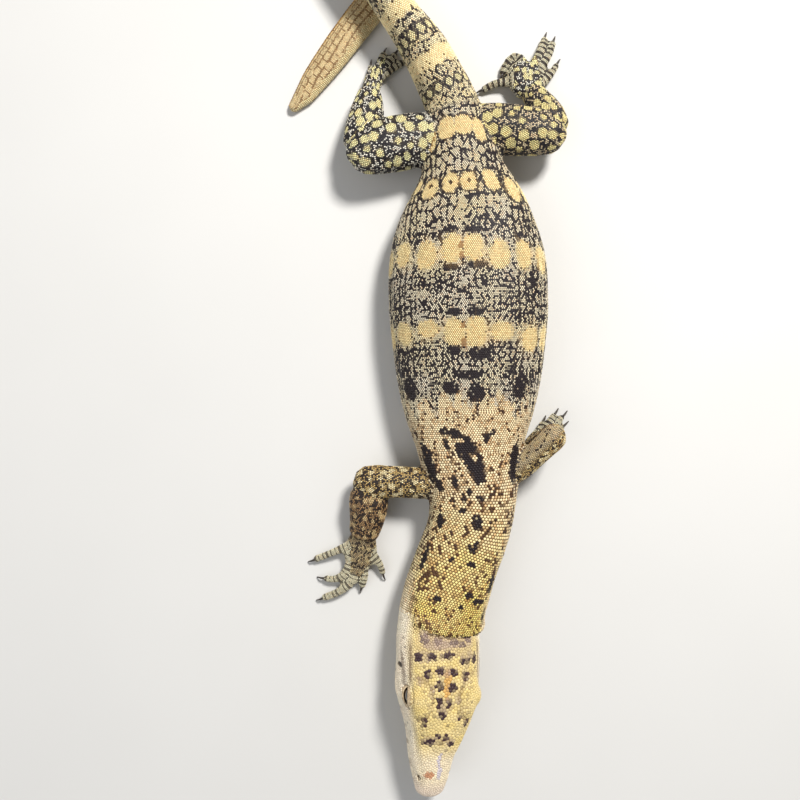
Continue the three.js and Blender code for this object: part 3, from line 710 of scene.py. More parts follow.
PALE_GAPS = [(99.6, 5.0, 1.3, 2.6), (104.6, -9.5, 0.8, 5)]
TAIL_BANDS = [213.5, 230.0]
while TAIL_BANDS[-1] < along_body["tip"]:
    TAIL_BANDS.append(TAIL_BANDS[-1] + max(8.0, 16.5 - 0.6 * len(TAIL_BANDS)))
TAIL_BANDS = np.array(TAIL_BANDS)


def trunk_markings(along, turned, grain):
    """Colours of the scales and of the skin between them, from the nape to the tip of the tail."""
    sizes = body.read(along)[:, 3:6]
    across = turned * (sizes[:, 0] + sizes[:, 1]) / 2 * math.pi / 180
    aside = np.abs(turned)
    flank = unit((aside - 34) / 22)
    low = 104 + 22 * unit((along - 196) / 8) - 16 * (mottle(along / 2.5, across / 2, 43) - 0.5)
    under = unit((aside - low) / 8)
    ragged = grain - 0.5

    # salt and pepper: on the middle of the back in short bars, on the flanks in slanting lines
    rear = unit((along - 158) / 8)
    drift = across + 0.30 * along * np.sign(across) * unit((aside - 14) / 10)
    woven = blend(flank, net(along / 1.6, across / 1.35, 3), net(along / 3.0, drift / 1.5, 5))
    woven = blend(rear, woven, net(along / 3.4, across / 1.75, 7))
    clump = mottle(along / 3.2, across / 3.6, 11)
    calm = 0.42 - 0.18 * np.maximum(flank, rear)
    light = unit(0.5 + (woven + calm * ragged + 0.30 * (clump - 0.5) - 0.22) * 13)
    lines = unit((0.17 + 0.12 * ragged - flank_fold(along, across)) * 14)
    light *= 1 - 0.92 * lines * (aside > 36) * (mottle(along / 6, np.round(across / 2.1), 9) > 0.25)

    yellow = inside(along, turned, YELLOW_BLOTCHES)
    bands = ((133.5, 1), (154.6, 0.9), (173.8, 0.6))
    in_band = np.max([share * hill(along, middle, 3.4) for middle, share in bands], axis=0)
    border = np.maximum(unit((yellow + 0.9) / 0.7) * (1 - rear), in_band * 0.8)
    light = np.maximum(light, unit((border - 0.5) * 6) * unit((grain - 0.10) * 6))
    outline = (yellow > -0.75) & (yellow < 0) & (grain < 0.8)
    light *= 1 - 0.9 * rear * outline
    bars = inside(along, turned, DARK_BARS)
    on_bar = unit(0.5 + (bars + 0.7 * ragged) * 5)
    on_bar *= inside(along, turned, PALE_GAPS) + 0.5 * ragged < 0
    vertebral = np.abs(turned + 1.5 * mottle(along / 3, 0, 4)) < 1.7
    vertebral &= (along > 112) & (along < 190) & (mottle(along / 2.1, 0, 14) > 0.36)
    light = np.where(vertebral & (grain > 0.15), 1, light)
    light *= 1 - on_bar * (0.55 + 0.45 * (grain < 0.9))

    pale = choose(mottle(along / 5, across / 5, 31), CREAM, PALE)
    pale = choose(rear * 0.55 * mottle(along / 2, across / 1.4, 33), pale, BLOTCH)
    hole = (mottle(along / 1.1, across / 1.1, 77) > 0.86) & (yellow < 0.5)
    on_blotch = unit(0.5 + (yellow + 0.5 * ragged) * 5) * (1 - 0.75 * hole) * (1 - on_bar)
    light = np.maximum(light * (1 - on_blotch * hole), on_blotch)
    pale = choose(0.5 * in_band * (1 - on_blotch), pale, BLOTCH)
    pale = choose(on_blotch, pale, BLOTCH)
    rust = vertebral & (yellow > -0.9) & (yellow < 0.6) & (mottle(along / 1.4, 0, 6) > 0.5)
    pale = choose(rust * 0.8, pale, RUST)

    # the neck and shoulders are cream-yellow with dark flecks, and end in ragged tongues on the back
    edge = 114.2 + 8.5 * (mottle(across / 2.4, 0, 12) - 0.5)
    edge += 8 * (mottle(across / 0.7, along / 3, 13) - 0.5)
    front = unit((edge - along) / 0.8)
    tongue = unit((122 - along) / 8) * (mottle(across / 0.75, along / 5, 19) > 0.52)
    light = np.maximum(light, tongue * (grain > 0.25) * (1 - on_bar))
    fleck = 0.56 * mottle(along / 1.75, across / 0.88, 15) + 0.44 * grain
    thick = 0.76 - 0.05 * flank - 0.10 * mottle(along / 8, across / 6, 18) + 0.05 * unit((along - 96) / 8)
    fore_light = unit(0.5 + (thick - fleck) * 13) * (1 - on_bar * (0.6 + 0.4 * (grain < 0.9)))
    nape = unit((90 - along) / 26)
    fore_pale = choose(nape * (0.45 + 0.55 * mottle(along / 6, across / 5, 17)), SHOULDER, NAPE_YELLOW)
    tan = unit((0.30 - np.abs(fleck - thick + 0.08)) * 4) * (fleck > thick - 0.16)
    fore_pale = choose(tan * 0.5, fore_pale, tint("B07C3C"))
    fore_pale = choose(0.6 * unit((aside - 46) / 26), fore_pale, tint("C2B59A"))
    neck_side = unit((66 - along) / 12) * unit((aside - 48) / 22)
    fore_light = np.maximum(fore_light, neck_side * (grain > 0.06))
    fore_pale = choose(neck_side * 0.9, fore_pale, tint("F3E3C2"))
    light = blend(front, light, fore_light)
    pale = choose(front, pale, fore_pale)

    # the tail carries yellow bands, with eye spots in the dark between them, and its last third is yellow
    # with brown lines
    behind = unit((along - 197) / 2)
    late = unit((along - 300) / 110)
    offset = along[:, None] + (aside[:, None] / 90) ** 2 * 0.6 - TAIL_BANDS[None, :]
    nearest = np.abs(offset).argmin(1)
    spacing = np.interp(nearest, np.arange(len(TAIL_BANDS) - 1), np.diff(TAIL_BANDS))
    banding = 1 - np.abs(offset).min(1) / (spacing * 0.175)
    on_band = unit((banding + 0.5 * ragged + 0.5 * (mottle(along / 1.5, across / 1.5, 25) - 0.5)) * 5)
    between = 1 - np.abs(np.abs(offset).min(1) / spacing - 0.5) * 2
    row = np.where(offset[np.arange(len(along)), nearest] > 0, nearest, nearest - 1)
    slot = (across + 1.3 * hashed(row, 0, 27)) / 3.5
    eye_spot = np.hypot((1 - between) * spacing / 2, (slot - np.floor(slot) - 0.5) * 3.5)
    spot = unit((1.15 - eye_spot + 0.3 * ragged) * 5)
    rim = (eye_spot > 1.15) & (eye_spot < 1.85)
    mesh = net(along / 2.7, across / 1.6, 23)
    reticule = unit((mesh + 0.36 * ragged - 0.10) * 7)
    tail_light = unit(np.maximum(spot, np.where(rim, reticule * 0.15, reticule)))
    tail_pale = choose(0.35 + 0.5 * mottle(along / 2.5, across / 2, 24), tint("EFE4C8"), BLOTCH)
    tail_pale = choose(spot, tail_pale, tint("F6E9B0"))
    tail_light = np.maximum(tail_light, on_band * (grain > 0.04))
    tail_pale = choose(on_band, tail_pale, tint("FBEBBA"))
    brick = across / 1.8 + 0.3 * mottle(along / 5, 0, 28)
    course = np.floor(brick)
    step = along / 2.6 + hashed(course, 0, 29)
    edge = np.minimum(np.abs(brick - np.round(brick)) * 1.8, np.abs(step - np.round(step)) * 3.6)
    line = unit((0.34 - edge + 0.2 * ragged) * 5) * (mottle(along / 2.2, across / 1.6, 30) > 0.28)
    bar = unit((-banding - 2.4 + 1.2 * (mottle(along / 1.3, across / 1.6, 32) - 0.5)) * 3)
    groove = unit(np.abs(np.sin(across * math.pi / 2.6 + 0.5)) * 3.2)
    end_light = (1 - np.maximum(line * 0.85, bar * 0.75)) * (0.45 + 0.55 * groove)
    ridge = unit((26 - aside) / 18)
    end_pale = choose(ridge, tint("E6D3A4"), tint("DDAE58"))
    tail_light = blend(late, tail_light, end_light)
    tail_pale = choose(late, tail_pale, end_pale)
    light = blend(behind, light, tail_light)
    pale = choose(behind, pale, tail_pale)

    # the belly is pale yellow, crossed by narrow dark bars that break up at the flanks
    cross = 0.5 + 0.5 * np.sin(along * 2 * math.pi / 8.5 + 4 * mottle(along / 9, across / 9, 41))
    under_light = unit((cross - 0.16 * (along < 200) + 0.5 * ragged * (along < 200)) * 6 + (along > 200))
    light = blend(under, light, under_light)
    pale = choose(under, pale, tint("E2D4A4"))

    brown = front * (1 - on_bar) * np.maximum(mottle(along / 3, across / 3, 79), nape)
    dark = choose(0.85 * brown, PURPLE, tint("553519"))
    dark = choose(late * 0.85, dark, tint("6A421F"))
    scale = choose(light, dark, pale)
    # the skin between the scales, darker than they are: partly its own colour, partly painted shade between
    # them
    gaps = choose(on_blotch * (1 - front), PURPLE * 1.1, tint("8E6E3A"))
    gaps = choose(front * (1 - on_bar) * (0.25 + 0.5 * fore_light), gaps, tint("6E4C22"))
    gaps = choose(neck_side * 0.7, gaps, tint("9A8262"))
    gaps = choose(np.maximum(behind * on_band, under * 0.7), gaps, tint("A88A50"))
    gaps = choose(late * behind, gaps, tint("8A6A3A"))
    return scale, gaps


HEAD_YELLOW = tint("EACD72")
SNOUT = tint("FFF0D4")
MARK = tint("34202C")
LILAC = tint("A0897E")
HEAD_MARKS = [
    (43.0, -40, 1.3, 5), (43.0, -22, 1.0, 6.5), (43.0, 1.5, 0.8, 12), (41.0, 24, 1.1, 8),
    (41.3, 41, 1.5, 4.5), (38.5, -28, 1.3, 5), (39.4, -11, 1.0, 6), (38.5, 8, 0.9, 6),
    (37.3, 25, 1.4, 5.5), (35.4, -12, 1.3, 5.6), (34.5, 6, 1.3, 5.6), (31.2, -13, 1.2, 3.4),
    (29.4, -12, 1.0, 4), (30.6, 3, 1.5, 4.2), (27.2, -8, 1.1, 6.5), (26.2, 20, 0.7, 4),
    (24.8, 35, 1.0, 5), (18.8, -36, 0.7, 6), (19.2, -23, 0.9, 7), (21.2, -9, 0.8, 6), (21.0, 5, 0.8, 5),
    (19.0, 19, 1.0, 7), (47.3, -31, 1.1, 6), (47.0, -13, 0.9, 6), (46.6, 12, 0.9, 8), (46.0, 22, 1.2, 5),
    (47.6, 33, 1.4, 5),
]
HEAD_SLASH = [(25.6, -32, 1.0, 4), (24.6, -35, 0.9, 4), (23.8, -38, 0.8, 4)]
HEAD_SMUDGES = [
    (43.0, -33, 1.8, 14), (42.5, 28, 1.6, 12), (39.0, -3, 1.5, 18), (29.5, -5, 3.0, 10),
    (19.8, -18, 1.4, 22), (19.6, 14, 1.2, 12), (33.5, -22, 2.0, 4), (31.8, 15, 2.4, 4),
    (45.8, -6, 1.3, 30), (36.5, -38, 1.5, 5),
]


def head_markings(along, turned, grain):
    """Colours of the head: yellow crown, pale snout, cheeks pale with painted light, dark marks and soft
    smudges.
    """
    across, aside = turned * 0.19, np.abs(turned)
    soft = mottle(along / 2.2, across / 2.2, 51)
    scale = choose(0.35 + 0.4 * soft, HEAD_YELLOW, tint("E9D6A2"))
    # the cheeks are pale cream, painted paler still as painted light
    cheek = unit((aside - 44) / 18)
    scale = choose(cheek * 0.9, scale, choose(soft * 0.45, tint("FFF6E0"), tint("F3D9C0")))
    front = unit((19 - along) / 6)
    scale = choose(front * 0.8, scale, SNOUT)
    scale = choose(unit((7 - along) / 4) * 0.85, scale, tint("F6E2CE"))
    scale = choose(np.clip(inside(along, turned, [(37, -1, 2.8, 6), (33.5, -2, 2.6, 5)]) * 1.4, 0, 0.85),
                   scale, tint("D9A556"))
    scale = choose(np.clip(inside(along, turned, [(9.0, -22, 1.3, 16)]) * 1.6, 0, 0.8),
                   scale, tint("CC7F50"))
    scale = choose(np.clip(inside(along, turned, [(13.8, 3, 2.6, 6), (9.4, 8, 2.4, 9)]) * 2, 0, 0.9),
                   scale, tint("D6CDD6"))
    smudge = unit(inside(along, turned, HEAD_SMUDGES) * 2) * (0.3 + 0.7 * mottle(along, across, 53))
    scale = choose(smudge * 0.75, scale, LILAC)
    ragged = 0.5 * (grain - 0.5)
    halo = unit((inside(along, turned, HEAD_MARKS) + 1.3 + 2 * ragged) * 0.7)
    scale = choose(halo * 0.4, scale, LILAC)
    mark = unit(0.5 + (inside(along, turned, HEAD_MARKS + HEAD_SLASH) + 1.3 * ragged - 0.05) * 3)
    scale = choose(mark * (0.62 + 0.36 * (grain > 0.35)), scale, MARK)
    # painted shade: the groove round each dome over an eye is painted darker, and so are fine grooves across
    # the dome
    for angle in DOME_TURNS:
        dome = np.sqrt(dome_reach(along, turned, angle))
        rim = hill(dome, 1.06, 0.09) * (aside < abs(angle) + 6)
        scale = choose(rim * 0.55, scale, tint("6A4E48"))
        stripe = unit(np.sin(along * 2 * math.pi / 1.25) * 2) * hill(dome, 0.72, 0.22)
        scale = choose(stripe * 0.42 * (aside < abs(angle)), scale, tint("7A6258"))
    back_of_head = unit((along - 43) / 2.5) * unit((46 - aside) / 14)
    scale = choose(back_of_head * (0.35 + 0.4 * soft), scale, tint("B29A8C"))
    temple = hill(aside - 53 + (along - 38) * 0.25, 0, 3.0)
    temple *= unit((along - 34) / 3) * unit((48 - along) / 3)
    scale = choose(temple * 0.75, scale, tint("6A4A30"))
    streak = hill(aside - 66 - 0.5 * (along - 34), 0, 4) * unit((along - 33.5) / 1.5)
    streak *= unit((46 - along) / 4)
    scale = choose(unit(streak * 1.3 + ragged) * 0.62, scale, tint("5A3C2A"))
    lip_bar = unit(np.sin(along * 2 * math.pi / 5.2 + 0.8) * 3 - 1.6 + 1.5 * ragged)
    lip_bar *= hill(aside, 90, 10) * unit((along - 3) / 2) * unit((31 - along) / 2)
    scale = choose(lip_bar * 0.55, scale, tint("6A4A3A"))
    throat = unit((aside - 96) / 14)
    scale = choose(throat, scale, choose(0.5 * mottle(along / 3, across / 3, 55), tint("DCCDA2"),
                                         tint("C7B48A")))
    speck = (mottle(along / 0.9, across / 0.9, 57) > 0.93) & (along > 16)
    scale = choose(speck * 0.5, scale, MARK)
    # the skin between the plates is a darker copy of their colour: partly the hide's own colour, partly
    # painted shade
    return scale, scale * np.array([0.56, 0.48, 0.40])


def limb_markings(along, turned, grain, name):
    """Colours of the legs and feet: dark, with pale round spots and fine dots, the toes ringed."""
    toe, palm, rear = "toe" in name, "palm" in name, name.startswith(("hind", "foot"))
    around = turned * (0.022 if toe else 0.065 if palm else 0.095 if rear else 0.080)
    under = unit((np.abs(turned) - 118) / 16)
    dots = 0.45 * mottle(along / 0.9, around / 0.7, 61) + 0.55 * grain
    ragged = 0.11 * (grain - 0.5)
    pitch = (3.0 if palm else 3.9) if rear else (2.4 if palm else 2.9)
    away, own = cells(along / pitch, around / (0.95 * pitch), 63 if rear else 67)
    spot = unit(((0.23 if rear else 0.20) + 0.20 * own - away + ragged) * 12)
    if toe:
        ring = 0.7 * np.sin(along * 2 * math.pi / (1.6 if rear else 1.3) + 1.2) + 0.3 * np.sin(along * 1.5)
        light = unit((ring + (0.30 if rear else 0.52) + 0.6 * (grain - 0.5)) * 3)
        pale, bright = tint("E6DFBE"), tint("F2EBC8")
        dark = tint("2A221C") if rear or name.startswith("hand_left") else tint("5A5446")
        spot = 0.5 * grain
    elif rear:
        light = np.maximum(spot, unit((dots - 0.48) * 12) * (away > 0.32 + 0.20 * own))
        pale, bright, dark = tint("F3EEDC"), tint("FBF5B8"), tint("0E0B12")
        if name.startswith("hindleg_left"):
            pale, bright = tint("E2CFA8"), tint("F2E6A2")
    elif palm:
        light = np.maximum(spot, unit((dots - (0.30 if name.startswith("foot") else 0.36)) * 8))
        pale, bright, dark = tint("AD9A74"), tint("CDBA8C"), tint("241A12")
        if name.startswith("foot"):
            pale, bright, dark = tint("F2E8CE"), tint("FBF2D0"), tint("2A221C")
    else:
        light = np.maximum(spot, unit((dots - 0.44) * 8) * 0.92)
        pale, bright, dark = tint("D6B672"), tint("F8E8B8"), tint("1E120B")
        if "lower" in name:
            pale, bright = tint("B08C5E"), tint("D8BC8C")
    pale = choose(spot, pale, bright)
    if name.startswith("foreleg_left"):
        lit = unit((20 - turned) / 30) * unit((turned + 150) / 30)
        light = np.maximum(light, lit * (dots > 0.26))
        pale = choose(lit, pale, tint("C9B690"))
    if name.startswith("foreleg_right_upper"):
        lit = unit((-20 - turned) / 40) * unit((10 - along) / 6)
        pale = choose(lit, pale, tint("F4E8C8"))
    light = blend(under, light, unit((dots - 0.25) * 8))
    pale = choose(under, pale, tint("CDBB86"))
    scale = choose(light, dark, pale)
    # the skin between the scales: partly its own colour, partly painted shade between them
    gaps = choose(np.maximum(0.5 * under, 0.8 * spot * (not toe)), dark * 1.1, tint("7E6A3E"))
    return scale, gaps


def markings(numbers, along, turned, grain):
    """Colours of scales and of the skin between them for places anywhere on the animal."""
    scale, gaps = np.zeros((len(along), 3)), np.zeros((len(along), 3))
    for number in np.unique(numbers):
        name, here = parts[number], numbers == number
        if name in ("head", "lower_jaw"):
            made = head_markings(along[here], turned[here], grain[here])
        elif name in LENGTHS:
            made = trunk_markings(along[here], turned[here], grain[here])
        else:
            made = limb_markings(along[here], turned[here], grain[here], name)
        scale[here], gaps[here] = made
    return scale, gaps


# Surface of the hide
# The folds are pressed into the skin, which is painted as the bare hide that shows between the scales,
# darker
# than they are: partly the hide's own colour, partly painted shade. Painted shade also makes it dark in the
# line of the mouth and in the pits, and brown in the fold of the nape.
points = read_vectors(skin.data.vertices, "co") * METRE
normals = read_vectors(skin.data.vertices, "normal")
unfolded = points.copy()
carve(points, normals)
skin.data.vertices.foreach_set("co", (points / METRE).astype(np.float32).ravel())
skin.data.update()
normals = read_vectors(skin.data.vertices, "normal")
skin.data.calc_loop_triangles()
triangles = read_vectors(skin.data.loop_triangles, "vertices", np.int32)
surface = BVHTree.FromPolygons(points.tolist(), triangles.tolist())
point_part = part_at(points)
point_along, point_turned = place_on_body(points, point_part)
triangle_part = point_part[triangles[:, 0]]
facing = straight(normals[triangles].mean(1))


def rise_over_lips(spots, along):
    middle, _, _, top, _ = body.frames(along)
    return ((spots - middle) * top).sum(1) - mouth_height(along)


fine = 0.25 + 0.5 * hashed(np.round(points[:, 0] * 3), np.round(points[:, 1] * 3 + points[:, 2] * 5), 2)
_, gaps = markings(point_part, point_along, point_turned, fine)
head_numbers = [part_number["head"], part_number["lower_jaw"]]
on_head = np.isin(point_part, head_numbers)
# painted shade: the skin along the line of the mouth, where the lips meet, is painted dark
near = np.nonzero(on_head & (np.abs(point_turned) > 60) & (point_along < MOUTH_CORNER))[0]
rise = rise_over_lips(points[near], point_along[near])
gaps[near] = choose(hill(rise, 0, 0.35), gaps[near], tint("2A1A18"))
# painted shade: the nostrils and ears are painted near black inside their pits
for middle, wide, tall in pits:
    pit_shade = np.exp(-((pit_reach(unfolded, middle, tall) / (wide + 0.10)) ** 4))
    gaps = choose(pit_shade, gaps, tint("1A100E"))
# painted shade: the deep fold of the nape is painted brown
past = point_along - fold_of_nape(point_turned)
crease = hill(past, 0.0, 0.7) * (np.abs(point_turned) < 100) * (points[:, 1] < -80)
gaps = choose(crease * 0.8, gaps, tint("4A3512"))


def paint(piece, colours):
    layer = piece.data.color_attributes.new("markings", "FLOAT_COLOR", "POINT")
    layer.data.foreach_set("color", np.c_[colours, np.ones(len(colours))].astype(np.float32).ravel())


paint(skin, gaps)
hide = Finish("hide")
skin.data.materials.append(hide.shade({
    "Base Color": hide.painted(),
    "Roughness": 0.6,
    "Normal": hide.bump(hide.grain(0.25), 0.4, 0.08),
}))


# Scales of the neck, back, belly, tail and legs
# Horny scales run in rows across the animal, each row set half a scale over from the last. Every scale is
# a small closed lozenge rooted in the skin, its rear edge raised. Neck and shoulders have round beads.
ROUND_STEPS = 48
BELLY_EDGE = 126
# the columns of a table of scales: place, way out, way back, length, width, how far along, and turn
SPOT, OUT, BACK, LONG, WIDE, ALONG, TURN = slice(0, 3), slice(3, 6), slice(6, 9), 9, 10, 11, 12


def lay_rows(course, low, high, row_pitch, pitch, wanted, angles):
    """Rows of scales on the wanted lengths of the body, where rays from the course's line meet the skin."""
    stations = [low]
    while stations[-1] < high:
        stations.append(stations[-1] + float(np.interp(stations[-1], *row_pitch)))
    stations = np.array(stations)
    middle, ahead, side, top, sizes = course.frames(stations)
    turns = np.linspace(-math.pi, math.pi, 2 * ROUND_STEPS + 1)
    sine, cosine = np.sin(turns), np.cos(turns)
    hits = np.full((len(stations), len(turns), 3), np.nan)
    outward = np.zeros((len(stations), len(turns), 3))
    arcs = np.zeros((len(stations), len(turns)))
    allowed = {part_number[name] for name in wanted}
    for j in range(len(stations)):
        tall = np.where(cosine > 0, sizes[j, 1], sizes[j, 2])
        spokes = side[j] * (sizes[j, 0] * sine)[:, None] + top[j] * (tall * cosine)[:, None]
        start = Vector(middle[j])
        for i, spoke in enumerate(spokes):
            place, _, index, _ = surface.ray_cast(start, Vector(spoke))
            if place is not None and triangle_part[index] in allowed:
                hits[j, i] = place
                outward[j, i] = facing[index]
        if course is not body:
            reach = np.linalg.norm(hits[j] - middle[j], axis=1)
            found = np.isfinite(reach)
            if found.sum() < 4:
                continue
            spokes = straight(spokes) * np.interp(turns, turns[found], reach[found])[:, None]
        steps = np.linalg.norm(np.diff(spokes, axis=0), axis=1)
        run = np.concatenate([[0], np.cumsum(steps)])
        arcs[j] = run - run[ROUND_STEPS]
    before, after = np.vstack([hits[:1], hits[:-1]]), np.vstack([hits[1:], hits[-1:]])
    back = after - before
    pitch_here = np.gradient(stations)
    rows = []
    for j, along in enumerate(stations):
        wide = float(np.interp(along, *pitch))
        if arcs[j, -1] <= 0:
            continue
        reach = int(arcs[j, -1] / wide) + 2
        places = (np.arange(-reach, reach + 1) + 0.5 * (j % 2)) * wide
        index = np.interp(places, arcs[j], np.arange(len(turns)), left=-1, right=-1)
        turn = np.degrees(np.interp(index, np.arange(len(turns)), turns))
        keep_it = (index > 0) & (index < len(turns) - 1.001)
        keep_it &= (np.abs(turn) >= angles[0]) & (np.abs(turn) < angles[1])
        index, turn = index[keep_it], turn[keep_it]
        k = index.astype(int)
        t = (index - k)[:, None]
        spot, way_out, way_back = (blend(t, field[j, k], field[j, k + 1]) for field in (hits, outward, back))
        stretch = np.linalg.norm(way_back, axis=1)
        expected = 2 * pitch_here[j] if 0 < j < len(stations) - 1 else pitch_here[j]
        stretch = np.clip(np.nan_to_num(stretch / expected, nan=1.0), 0.6, 1.5)
        way_back[~np.isfinite(way_back).all(1)] = ahead[j]
        rows.append(np.c_[spot, way_out, way_back, stretch * pitch_here[j], np.full(len(spot), wide),
                          np.full(len(spot), along), turn])
    rows = np.vstack(rows)
    return rows[np.isfinite(rows).all(1)]


def hexagon(high):
    """A six-sided block, one unit across its corners, and the corners of its top."""
    shape = bmesh.new()
    bmesh.ops.create_circle(shape, cap_ends=True, segments=6, radius=0.5)
    bottom = next(iter(shape.faces))
    grown = bmesh.ops.extrude_face_region(shape, geom=[bottom], use_keep_orig=True)["geom"]
    upper = [item for item in grown if isinstance(item, bmesh.types.BMVert)]
    bmesh.ops.translate(shape, verts=upper, vec=(0, 0, high))
    return shape, upper


def lozenge():
    """A flat-topped scale, one unit long and wide, pointed to the front and rear."""
    shape, _ = hexagon(1)
    for way in (-1, 1):
        pair = [v for v in shape.verts if v.co.z > 0.5 and v.co.x * way > 0.3]
        bmesh.ops.pointmerge(shape, verts=pair, merge_co=(way * 0.26, 0, 1))
    flanks = [v for v in shape.verts if v.co.z > 0.5 and abs(v.co.x) < 0.1]
    bmesh.ops.scale(shape, verts=flanks, vec=(1, 0.62, 1))
    bmesh.ops.recalc_face_normals(shape, faces=shape.faces)
    return read_off(shape)


def bead():
    """A rounded scale one unit long and wide."""
    shape, upper = hexagon(0.72)
    bmesh.ops.scale(shape, verts=upper, vec=(0.70, 0.70, 1))
    top_faces = [face for face in shape.faces if all(vertex.co.z > 0.5 for vertex in face.verts)]
    bmesh.ops.poke(shape, faces=top_faces, offset=0.28)
    bmesh.ops.recalc_face_normals(shape, faces=shape.faces)
    return read_off(shape)


def bridge(shape, low, high):
    """A band of four-sided faces between two rings of corners."""
    for a, b, c, d in zip(low, low[1:] + low[:1], high[1:] + high[:1], high):
        shape.faces.new((a, b, c, d))


def read_off(shape):
    """The corners of a finished shape, and the three corners of each of its faces."""
    bmesh.ops.triangulate(shape, faces=shape.faces)
    shape.verts.index_update()
    corners = np.array([vertex.co[:] for vertex in shape.verts])
    faces = np.array([[vertex.index for vertex in face.verts] for face in shape.faces])
    shape.free()
    return corners, faces


SUNK = 0.07  # how deep the root of a scale sits in the skin
# painted shade: each scale's root takes this share of the darker skin colour, as the shade where it meets
# the skin
ROOT_SHADE = 0.78  # how much of the colour of the skin is at its root
HEXAGON_HALF = 0.433  # half the width of a hexagon whose corners are one unit apart


def set_scales(name, places, shape, tones, height, tilt, fill=(1.0, 1.0)):
    """Joins one scale at each place into a piece that rides with the skin."""
    corners, faces = shape
    n = len(places)
    spot, out, back = places[:, SPOT], places[:, OUT], places[:, BACK]
    row, wide = places[:, LONG:WIDE], places[:, WIDE:ALONG]
    out = straight(out)
    back = straight(back - out * (back * out).sum(1)[:, None])
    side = np.cross(back, out)
    tip = (row / 2 + wide**2 / (8 * row)) * 2 * fill[0]
    shoulder = (row / 2 - wide**2 / (8 * row)) * 2 * fill[0]
    # corners of the template: y runs back, x runs across
    y = corners[None, :, 1]
    pointed = np.abs(corners[None, :, 0]) < 0.12
    flank = np.clip(shoulder, 0.16 * tip, None)
    long = np.where(pointed, y * tip, np.sign(y) * np.abs(y) / 0.25 * flank / 2)
    across = corners[None, :, 0] * wide * fill[1] / HEXAGON_HALF * 0.5
    lift = corners[None, :, 2] * height[:, None]
    slope = tilt * long * np.minimum(1, corners[None, :, 2] + 0.5)
    spread = (
        spot[:, None, :]
        + back[:, None, :] * long[..., None]
        + side[:, None, :] * across[..., None]
        + out[:, None, :] * (lift + slope - SUNK)[..., None]
    )
    each = len(corners)
    joined = (faces[None] + np.arange(n)[:, None, None] * each).reshape(-1, 3)
    # painted shade at the root of each scale, in the darker colour of the skin
    at_root = np.tile(ROOT_SHADE * (corners[:, 2] < 0.1), n)
    colours = choose(at_root, np.repeat(tones[0], each, axis=0), np.repeat(tones[1], each, axis=0))
    piece = build(name, spread.reshape(-1, 3), joined, colours)
    along = places[:, ALONG]
    centre = unrolled(along, along.min(), max(float(along.max() - along.min()), 1e-6), places[:, TURN])
    lay_map(piece, np.repeat(centre, each, axis=0) + np.tile(corners, (n, 1))[:, :2] * PATCH)


def build(name, spots, faces, colours):
    """A scaled piece from its corners in millimetres, their colours, and its triangles."""
    mesh = bpy.data.meshes.new(name)
    mesh.vertices.add(len(spots))
    mesh.vertices.foreach_set("co", (spots / METRE).astype(np.float32).ravel())
    mesh.loops.add(faces.size)
    mesh.loops.foreach_set("vertex_index", faces.astype(np.int32).ravel())
    mesh.polygons.add(len(faces))
    mesh.polygons.foreach_set("loop_start", np.arange(0, faces.size, 3, dtype=np.int32))
    mesh.update()
    mesh.shade_smooth()
    piece = keep(bpy.data.objects.new(name, mesh))
    paint(piece, colours)
    mesh.materials.append(scale_material)
    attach(piece, "root")
    return piece


PATCH = 0.003  # how wide one scale's patch is on the map


def unrolled(along, start, reach, turned):
    """Places on the map OFBake: the body unrolled by length and turn, with a narrow margin."""
    return np.c_[0.01 + 0.98 * (along - start) / reach, 0.01 + 0.98 * (turned + 180) / 360]


def lay_map(piece, places):
    """Lays the map OFBake on a piece from one place for each of its corners."""
    mesh = piece.data
    layer = mesh.uv_layers.new(name="OFBake")
    index = np.empty(len(mesh.loops), np.int32)
    mesh.loops.foreach_get("vertex_index", index)
    layer.uv.foreach_set("vector", places[index].astype(np.float32).ravel())


scaled = Finish("scaled_hide")
scaled_grain = scaled.grain(0.35)
scale_material = scaled.shade({
    "Base Color": scaled.mix(scaled_grain * 0.22, scaled.painted(), (0.05, 0.03, 0.02, 1)),
    "Roughness": 0.34 + 0.2 * scaled_grain,
    "Specular IOR Level": 0.34,
    "Normal": scaled.bump(scaled.grain(0.18), 0.25, 0.05),
})


def skin_spots(chosen, how_many):
    """Scattered places on the chosen faces of the skin."""
    corner = points[triangles[chosen]]
    area = np.linalg.norm(np.cross(corner[:, 1] - corner[:, 0], corner[:, 2] - corner[:, 0]), axis=1)
    picked = chance.choice(len(chosen), how_many, p=area / area.sum())
    a, b = chance.random((2, how_many, 1))
    flip = a + b > 1
    a, b = np.where(flip, 1 - a, a), np.where(flip, 1 - b, b)
    base = corner[picked]
    return base[:, 0] + a * (base[:, 1] - base[:, 0]) + b * (base[:, 2] - base[:, 0])


def touch(spot):
    """The nearest place on the skin, and the number of the face it is on."""
    place, _, index, _ = surface.find_nearest(Vector(spot))
    return np.array(place), index


def faces_under(spots):
    """The numbers of the faces of the skin that lie nearest to many places."""
    return np.array([touch(spot)[1] for spot in spots])


def spread_out(kept, loose, apart):
    """Adds to the kept places each loose one that is far enough from all that came before it."""
    kept, boxes = list(kept), {}
    for k, spot in enumerate(kept):
        boxes.setdefault(tuple(math.floor(value) for value in spot), []).append(k)
    for spot, far in zip(loose, apart):
        here = [math.floor(value) for value in spot]
        near = [k for a in (-1, 0, 1) for b in (-1, 0, 1) for c in (-1, 0, 1)
                for k in boxes.get((here[0] + a, here[1] + b, here[2] + c), ())]
        if all(((kept[k] - spot) ** 2).sum() >= far * far for k in near):
            boxes.setdefault(tuple(here), []).append(len(kept))
            kept.append(spot)
    return np.array(kept)


LOZENGE, BEAD = lozenge(), bead()
